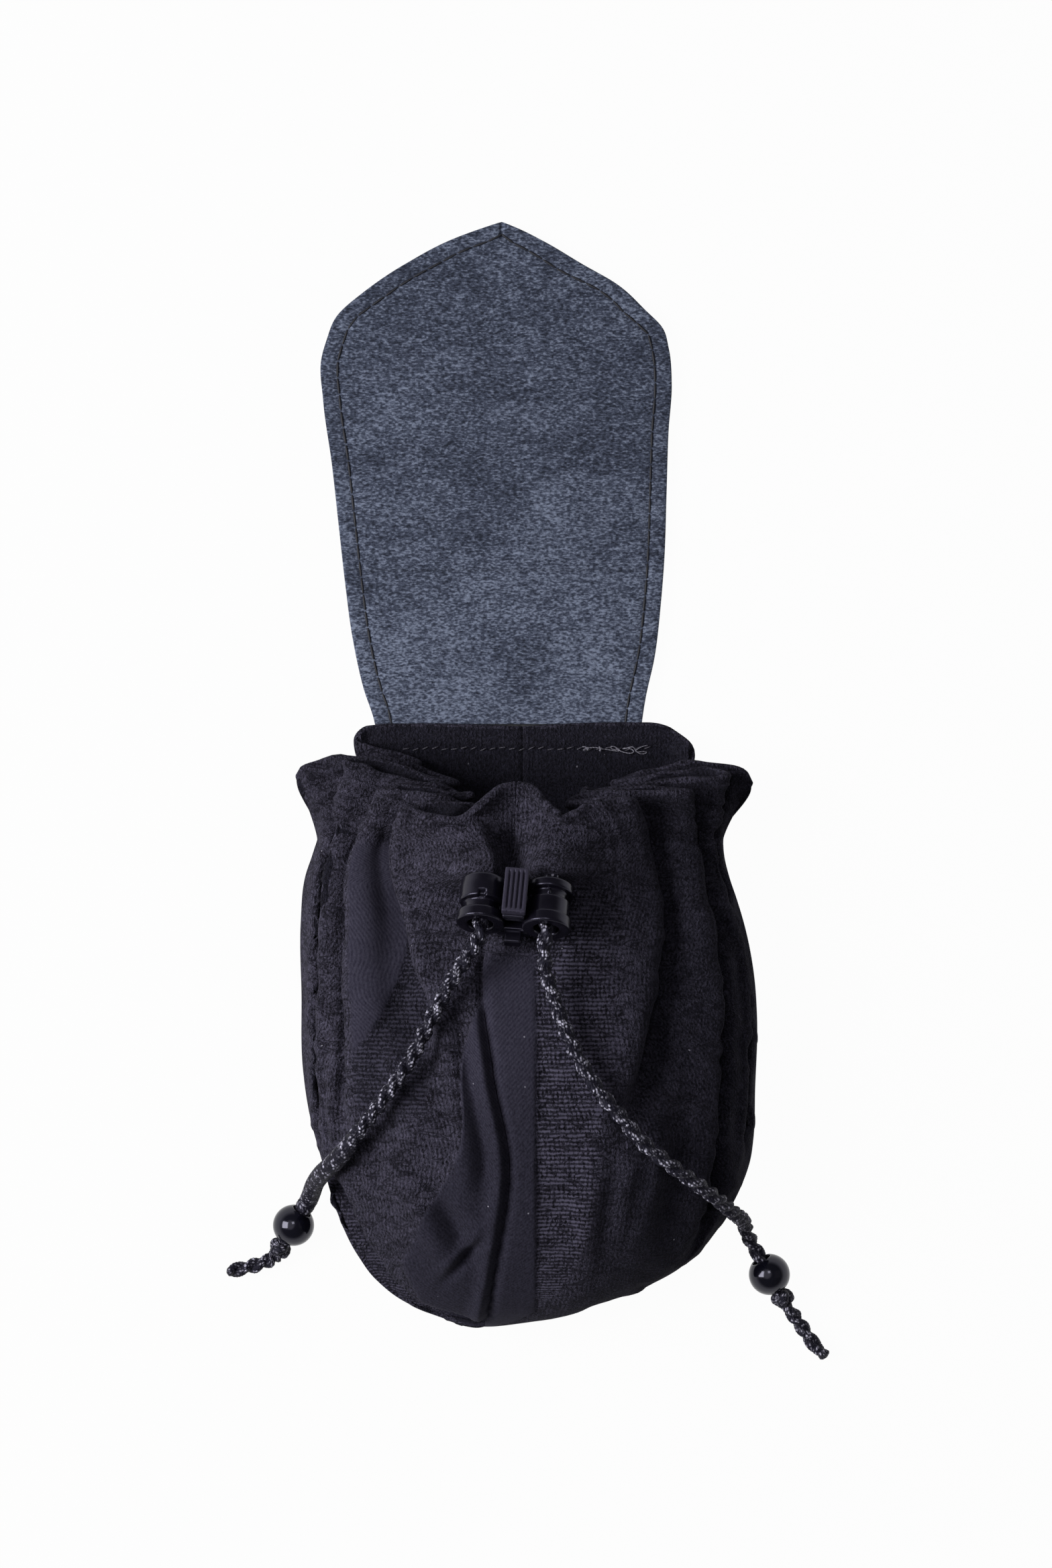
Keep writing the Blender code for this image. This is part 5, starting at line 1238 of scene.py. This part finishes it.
class DICEBAG_OT_cords(bpy.types.Operator):
    """Two free ends, their knots, and the loop in the casing"""
    bl_idname = "dicebag.cords"
    bl_label = "Cords"

    def execute(self, context):
        settings = context.scene.dice_bag.cord
        yarn = knitted_cord(settings)
        for side, word, length in ((-1, "left", settings.left_length), (1, "right", settings.right_length)):
            path, reach = free_route(side)
            plain = LEFT_PLAIN if side < 0 else (None, None)
            surface = cord_surface(path, reach, (0.75, -0.65 * side, 0.1), settings, *plain)
            points, quads, caps, mapping = surface
            cord = make_piece(f"{word}_cord_end", points, quads, yarn, caps, {"surface_mm": mapping})
            bead, axis = (LEFT_BEAD, LEFT_BEAD_AXIS) if side < 0 else (RIGHT_BEAD, RIGHT_BEAD_AXIS)
            seat = bead - axis * (math.sqrt(BEAD_RADIUS ** 2 - BEAD_BORE ** 2) + KNOT_HALF + KNOT_GAP)
            points, quads, mapping = knot_surface(seat, axis, KNOT_SIZE, KNOT_WIRE)
            knot = make_piece(f"{word}_stopper_knot", points, quads, yarn, attributes={"surface_mm": mapping})
            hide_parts(f"{word}_knot")
            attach(knot, "bag")
            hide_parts(f"{word}_cord")
            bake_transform(cord)
        path, reach = loop_route()
        points, quads, caps, mapping = cord_surface(path, reach, (0.0, 0.7, 0.7), settings)
        loop = make_piece("casing_loop", points, quads, yarn, caps, {"surface_mm": mapping})
        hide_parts("drawstring_loop")
        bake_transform(loop)
        return {"FINISHED"}


class DICEBAG_OT_beads(bpy.types.Operator):
    """Two polished stopper beads with eased bores"""
    bl_idname = "dicebag.beads"
    bl_label = "Beads"

    def execute(self, context):
        resin = polished_resin(context.scene.dice_bag.hardware)
        half = math.sqrt(BEAD_RADIUS ** 2 - BEAD_BORE ** 2)
        ease = math.asin((BEAD_BORE + 0.45) / BEAD_RADIUS)
        angle = np.linspace(ease, math.pi - ease, 44)
        ball = stacked(BEAD_RADIUS * np.sin(angle), BEAD_RADIUS * np.cos(angle))
        wall = stacked(BEAD_BORE, np.linspace(-half + 0.7, half - 0.7, 8))
        t = np.linspace(0, 1, 7)[1:-1, None]
        ease_low = (1 - t) ** 2 * ball[-1] + 2 * t * (1 - t) * np.array((BEAD_BORE, -half)) + t ** 2 * wall[0]
        outline = np.concatenate([ball, ease_low, wall, ease_low[::-1] * (1, -1)])
        points, quads = turned_piece(outline, 72)
        for word, place, axis in (("left", LEFT_BEAD, LEFT_BEAD_AXIS),
                                  ("right", RIGHT_BEAD, RIGHT_BEAD_AXIS)):
            first = unit(np.cross(axis, (0, 0, 1.0)))
            axes = np.stack([first, np.cross(axis, first), axis])
            bead = make_piece(f"{word}_stopper_bead", place + points @ axes, quads, resin)
            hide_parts(f"{word}_bead")
            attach(bead, f"{word}_stopper")
        return {"FINISHED"}


class DICEBAG_OT_lock(bpy.types.Operator):
    """The cord lock: two turned barrels on a bridge, its web, and the ribbed button"""
    bl_idname = "dicebag.lock"
    bl_label = "Cord lock"

    def barrel(self, side, corners, edge):
        """A barrel turned from its eased outline, with a notch or a pip on the upper face."""
        outline = rounded(corners, edge * 1.4)
        steps = [np.linspace(a, b, 2 + int(np.linalg.norm(b - a) / 0.4))[:-1]
                 for a, b in zip(outline, np.roll(outline, -1, axis=0))]
        points, quads = turned_piece(np.concatenate(steps), 160)
        x, up, run = np.moveaxis(points, -1, 0)
        off_top = np.abs(np.arctan2(x, up))
        notch = smoothstep((0.2 - off_top) / 0.06) * smoothstep((0.8 - np.abs(run - 0.2)) / 0.2) * (side < 0)
        pip = smoothstep((0.1 - off_top) / 0.05) * smoothstep((0.7 - np.abs(run - 2.6)) / 0.2) * (side > 0)
        scale = 1 + (np.clip(4.5 / np.hypot(x, up), 0, 1) - 1) * notch + 0.14 * pip
        return stacked(x * scale + side * BARREL_X, run, up * scale), quads

    def ribbed_head(self):
        """The button's head: an outline with four grooves in its top, carried along y; the grooves close
        before both ends."""
        half, top, bottom, ease = 2.9, 7.4, 5.1, 0.3
        pitch = 2 * (half - 2 * ease) / 4
        groove = ((-0.34, 0.0), (-0.24, 0.06), (-0.2, 0.6), (0.0, 0.66),
                  (0.2, 0.6), (0.24, 0.06), (0.34, 0.0))
        outline = [(-half, bottom + ease), (-half, top - ease), (-half + 0.09, top - 0.09),
                   (-half + ease, top)]
        outline += [(-half + 2 * ease + pitch * (k + 0.5) + x, top - deep)
                    for k in range(4) for x, deep in groove]
        outline += [(half - ease, top), (half - 0.09, top - 0.09), (half, top - ease), (half, bottom + ease),
                    (half - ease, bottom), (0.0, bottom), (-half + ease, bottom)]
        stations, inset = eased_ends(-5.9, 5.9, ease)
        stations = np.concatenate([stations[:6], np.linspace(-5.2, 5.2, 22), stations[6:]])
        inset = np.concatenate([inset[:6], np.zeros(22), inset[6:]])
        points, quads, caps = lofted_bar(np.array(outline), stations, inset)
        closed = 1 - smoothstep((4.9 - np.abs(points[..., 1])) / 0.25)
        on_top = (points[..., 2] > top - 0.7) & (np.abs(points[..., 0]) < half - 0.35)
        points[..., 2] += on_top * closed * (top - inset[:, None] - points[..., 2])
        points[..., 1] += 0.9
        return points, quads, caps

    def execute(self, context):
        settings = context.scene.dice_bag.hardware
        acetal, edge = moulded_acetal(settings), settings.edge / MM
        body = []
        for word, side, corners in (("left", -1, LEFT_BARREL), ("right", 1, RIGHT_BARREL)):
            points, quads = self.barrel(side, corners, edge)
            body.append(make_piece(f"lock_{word}_barrel", lock_place(points), quads, acetal))
        for name, low, high, corners in (("lock_bridge", -5.4, 6.0, BRIDGE), ("lock_web", -8.4, -4.6, WEB)):
            points, quads, caps = lofted_bar(rounded(corners, edge * 1.2), *eased_ends(low, high, edge))
            body.append(make_piece(name, lock_place(points), quads, acetal, caps))
        for piece in body:
            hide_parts("lock_body")
            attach(piece, "lock")
        points, quads, caps = self.ribbed_head()
        head = make_piece("lock_button_head", lock_place(points), quads, eroded_acetal(), caps)
        points, quads, caps = lofted_bar(rounded(STEM, edge), *eased_ends(-5.6, 5.6, edge))
        points[..., 1] *= np.where(points[..., 2] < 3.0, 4.7 / 5.6, 1.0)
        stem = make_piece("lock_button_stem", lock_place(points), quads, acetal, caps)
        for piece in (head, stem):
            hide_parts("lock_button")
            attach(piece, "button")
        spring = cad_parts["lock_spring"]
        spring.data.materials.clear()
        spring.data.materials.append(spring_wire())
        return {"FINISHED"}


class DICEBAG_OT_front(bpy.types.Operator):
    """The two folded front panels"""
    bl_idname = "dicebag.front"
    bl_label = "Front cloth"

    def execute(self, context):
        settings = context.scene.dice_bag.cloth
        velvet = once("cotton_velvet_jacquard", velvet_jacquard, settings)
        for side, word in ((-1, "left"), (1, "right")):
            path, reach = free_route(side)
            path = path[(reach > 12) & (path[:, 2] > 9.0)][::5]
            cloth = cloth_shell(f"front_cloth_{word}", *front_cloth(side, settings, path), velvet)
            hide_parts(f"front_panel_{word}")
            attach(cloth, "bag")
        return {"FINISHED"}


class DICEBAG_OT_back(bpy.types.Operator):
    """The two back panels, the stitches of the rim's hem and a loose thread"""
    bl_idname = "dicebag.back"
    bl_label = "Back cloth"

    def loose_thread(self):
        """A thin round thread along a tangle: a slow line with waves of several lengths."""
        t = np.linspace(0, 1, 260)
        path = np.stack([13 + 17 * t + 1.5 * np.sin(31 * t) + 0.7 * np.sin(57 * t + 1),
                         70.1 - 0.6 * t + 0.9 * np.sin(26 * t + 0.7) * t + 0.35 * np.cos(63 * t),
                         3.4 + 0.35 * np.sin(41 * t)], axis=-1)
        ahead = unit(np.gradient(path, axis=0))
        across = unit(np.cross(ahead, (0.0, 0.0, 1.0)))
        turn = np.linspace(0, TAU, 6, endpoint=False)
        return tube(ringed(path, across, np.cross(across, ahead), turn, np.full((len(t), len(turn)), 0.12)))

    def execute(self, context):
        settings = context.scene.dice_bag.cloth
        velvet = once("cotton_velvet_jacquard", velvet_jacquard, settings)
        thread = spun_thread("pale_thread", "5f5d69", "908e9b")
        dull = spun_thread("dull_thread", "35333c", "5c5a65")
        for side, word in ((-1, "left"), (1, "right")):
            cloth = cloth_shell(f"back_cloth_{word}", *back_cloth(side, settings), velvet)
            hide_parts(f"back_panel_{word}")
            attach(cloth, "bag")
        x = np.linspace(-31, 30, 26)
        centres = stacked(x, 70.0 + 0.25 * np.sin(x * 0.7), 3.1)
        headings = stacked(1.0, 0.3 + 0.18 * np.sin(x * 2.1), 0.1 * np.cos(x * 1.7))
        points, quads, caps = capsule_row(centres, headings, 1.7, 0.3, 0.4)
        stitches = make_piece("rim_stitches", points, quads, dull, caps)
        points, quads, caps = self.loose_thread()
        loose = make_piece("loose_thread", points, quads, thread, caps)
        for piece in (stitches, loose):
            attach(piece, "bag")
        return {"FINISHED"}


class DICEBAG_OT_casing(bpy.types.Operator):
    """The casing tape inside the neck"""
    bl_idname = "dicebag.casing"
    bl_label = "Casing tape"

    def execute(self, context):
        turn = np.linspace(0, TAU, 128, endpoint=False)[:, None]
        band = rounded(((0.0, 6.0), (0.0, -6.0), (-0.8, -6.0), (-0.8, 6.0)), 0.3)
        inward, along = band.T[:, None]
        grown = inward - 2.45 + 0.12 * np.sin(9 * turn) + 0.06 * np.sin(23 * turn)
        points = stacked((RING_HALF_WIDTH + grown) * np.cos(turn), NECK_Y + along,
                         RING_Z + (RING_HALF_HEIGHT + grown) * np.sin(turn))
        tape = make_piece("casing_band", points, grid_quads(len(turn), len(band), True, True), cotton_tape(),
                          attributes={"surface_mm": stacked(turn * 19, along, 0.0)})
        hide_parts("casing_tape")
        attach(tape, "bag")
        return {"FINISHED"}


class DICEBAG_OT_flap(bpy.types.Operator):
    """The flap: leather below, suede above, and the row of stitches round its edge"""
    bl_idname = "dicebag.flap"
    bl_label = "Flap"

    def leaf(self, name, low, high, level, crown, material):
        """A leaf between two heights: y along a grid that crowds to the tip, x between the flap's edges, with
        a closed outline of (across, z) carried from one end to the other and eased at both rims."""
        run = np.sin(np.linspace(0, 1, 120) * math.pi / 2) if high >= FLAP_TIP_Y else np.linspace(0, 1, 90)
        y = (low + (high - low) * run)[:, None]
        left, right = through(FLAP_LEFT, y), through(FLAP_RIGHT, y)
        across = np.sin(np.linspace(-1, 1, 90) * math.pi / 2)
        rim = np.clip((np.abs(across) - 0.965) / 0.035, 0, 1)
        ease = 0.35 * (1 - np.sqrt(1 - rim ** 2)) * (level[1] - level[0])
        x = (left + right) / 2 + np.maximum((right - left) / 2, 0.05) * across
        upper = stacked(x, y, level[1] - ease + crown(x, y))
        lower = stacked(x, y, level[0] + 0.4 * ease)
        points, quads, caps = tube(np.concatenate([upper, lower[:, ::-1]], axis=1))
        return make_piece(name, points, quads, material, caps)

    def stitch_lines(self, inset):
        """The stitches' two lines as (x, y): each edge moved in by the inset, square to it."""
        y = np.linspace(76.0, FLAP_TIP_Y - 3.2, 400)
        lines = []
        for edge, sign in ((FLAP_LEFT, 1), (FLAP_RIGHT, -1)):
            x = through(edge, y)
            shift = np.minimum(inset * np.sqrt(1 + np.gradient(x, y) ** 2), np.abs(x - FLAP_TIP_X))
            lines.append(np.stack([x + sign * shift, y], axis=-1))
        return lines

    def execute(self, context):
        settings = context.scene.dice_bag.flap
        suede, leather = napped_suede(settings), grain_leather(settings)
        thread = spun_thread("dark_thread", "090911", "171824")
        lines = self.stitch_lines(settings.inset / MM)
        stitch = settings.stitch / MM

        def creased(x, y):
            """The suede's own relief: soft waves, a groove along the stitches and one bent crease."""
            relief = 0.1 * lumps(x / 9 + 9, y / 12, 41) + 0.05 * lumps(x / 3 + 9, y / 3, 42)
            for line_x, line_y in (line.T for line in lines):
                slope = np.interp(y, line_y, np.gradient(line_x, line_y))
                away = (x - np.interp(y, line_y, line_x)) / np.sqrt(1 + slope ** 2)
                relief = relief - 0.3 * hump(away, 0.7)
            bend = (x + 14.3) - (y - 89.6) * 0.8 + 0.03 * (y - 96) ** 2
            return relief - 0.3 * hump(bend, 0.8) * hump(y - 95, 6)

        def plain(x, y):
            """The leather's relief: faint waves."""
            return 0.04 * lumps(x / 8 + 4, y / 8, 43)

        pieces = []
        for name, low, high, level, crown, material, slot_name, nodes in (
                ("flap_leather_lower", 67.0, FLAP_SPLIT_Y, LEATHER_Z, plain, leather, "black_leather",
                 ("flap_leather_root", "flap_leather_neck")),
                ("flap_leather_upper", FLAP_SPLIT_Y, FLAP_TIP_Y, LEATHER_Z, plain, leather, "black_leather",
                 ("flap_leather_neck", "flap_leather_tip")),
                ("flap_suede_lower", 76.2, FLAP_SPLIT_Y, SUEDE_Z, creased, suede, "blue_grey_suede",
                 ("flap_suede_neck",)),
                ("flap_suede_upper", FLAP_SPLIT_Y, FLAP_TIP_Y, SUEDE_Z, creased, suede, "blue_grey_suede",
                 ("flap_suede_neck", "flap_suede_tip"))):
            piece = self.leaf(name, low, high, level, crown, material)
            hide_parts(*nodes)
            pieces.append((piece, low < FLAP_SPLIT_Y, (0.088, (high - low) * MM)))
        rows = [evenly(np.column_stack([line, np.full(len(line), SUEDE_Z[1] - 0.12)]), stitch)[0]
                for line in lines]
        headings = np.concatenate([np.diff(row, axis=0) for row in rows])
        centres = np.concatenate([(row[1:] + row[:-1]) / 2 for row in rows])
        for name, chosen in (("flap_stitches_lower", centres[:, 1] < FLAP_SPLIT_Y),
                             ("flap_stitches_upper", centres[:, 1] >= FLAP_SPLIT_Y)):
            points, quads, caps = capsule_row(centres[chosen], headings[chosen], stitch * 0.97, 0.62, 0.42)
            row = make_piece(name, points, quads, thread, caps)
            pieces.append((row, name.endswith("lower"), None))
        for piece, lower, darkened in pieces:
            if lower:
                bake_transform(piece)
            else:
                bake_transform(piece)
        return {"FINISHED"}


class DICEBAG_PT_panel(bpy.types.Panel):
    """Lists the pieces and their settings"""
    bl_idname = "DICEBAG_PT_panel"
    bl_label = "Dice bag"
    bl_space_type = "VIEW_3D"
    bl_region_type = "UI"
    bl_category = "Dice bag"

    def draw(self, context):
        for operator in OPERATORS:
            self.layout.operator(operator.bl_idname)
        for group in ("cloth", "flap", "cord", "hardware", "stage"):
            settings = getattr(context.scene.dice_bag, group)
            box = self.layout.box()
            box.label(text=group.title())
            for key in settings.bl_rna.properties.keys():
                if key not in ("rna_type", "name"):
                    box.prop(settings, key)


SETTINGS = (ClothSettings, FlapSettings, CordSettings, HardwareSettings, StageSettings, DiceBagSettings)
OPERATORS = (DICEBAG_OT_stage, DICEBAG_OT_cords, DICEBAG_OT_beads, DICEBAG_OT_lock, DICEBAG_OT_front,
             DICEBAG_OT_back, DICEBAG_OT_casing, DICEBAG_OT_flap)


def register():
    """Registers the classes and hangs the settings on the scene."""
    for cls in SETTINGS + OPERATORS + (DICEBAG_PT_panel,):
        bpy.utils.register_class(cls)
    bpy.types.Scene.dice_bag = bpy.props.PointerProperty(type=DiceBagSettings)


def unregister():
    """Takes the settings and the classes away again."""
    del bpy.types.Scene.dice_bag
    for cls in reversed(SETTINGS + OPERATORS + (DICEBAG_PT_panel,)):
        bpy.utils.unregister_class(cls)


def main():
    """Makes every piece in order."""
    register()
    for operator in OPERATORS:
        group, name = operator.bl_idname.split(".")
        getattr(getattr(bpy.ops, group), name)()


if __name__ == "__main__":
    main()
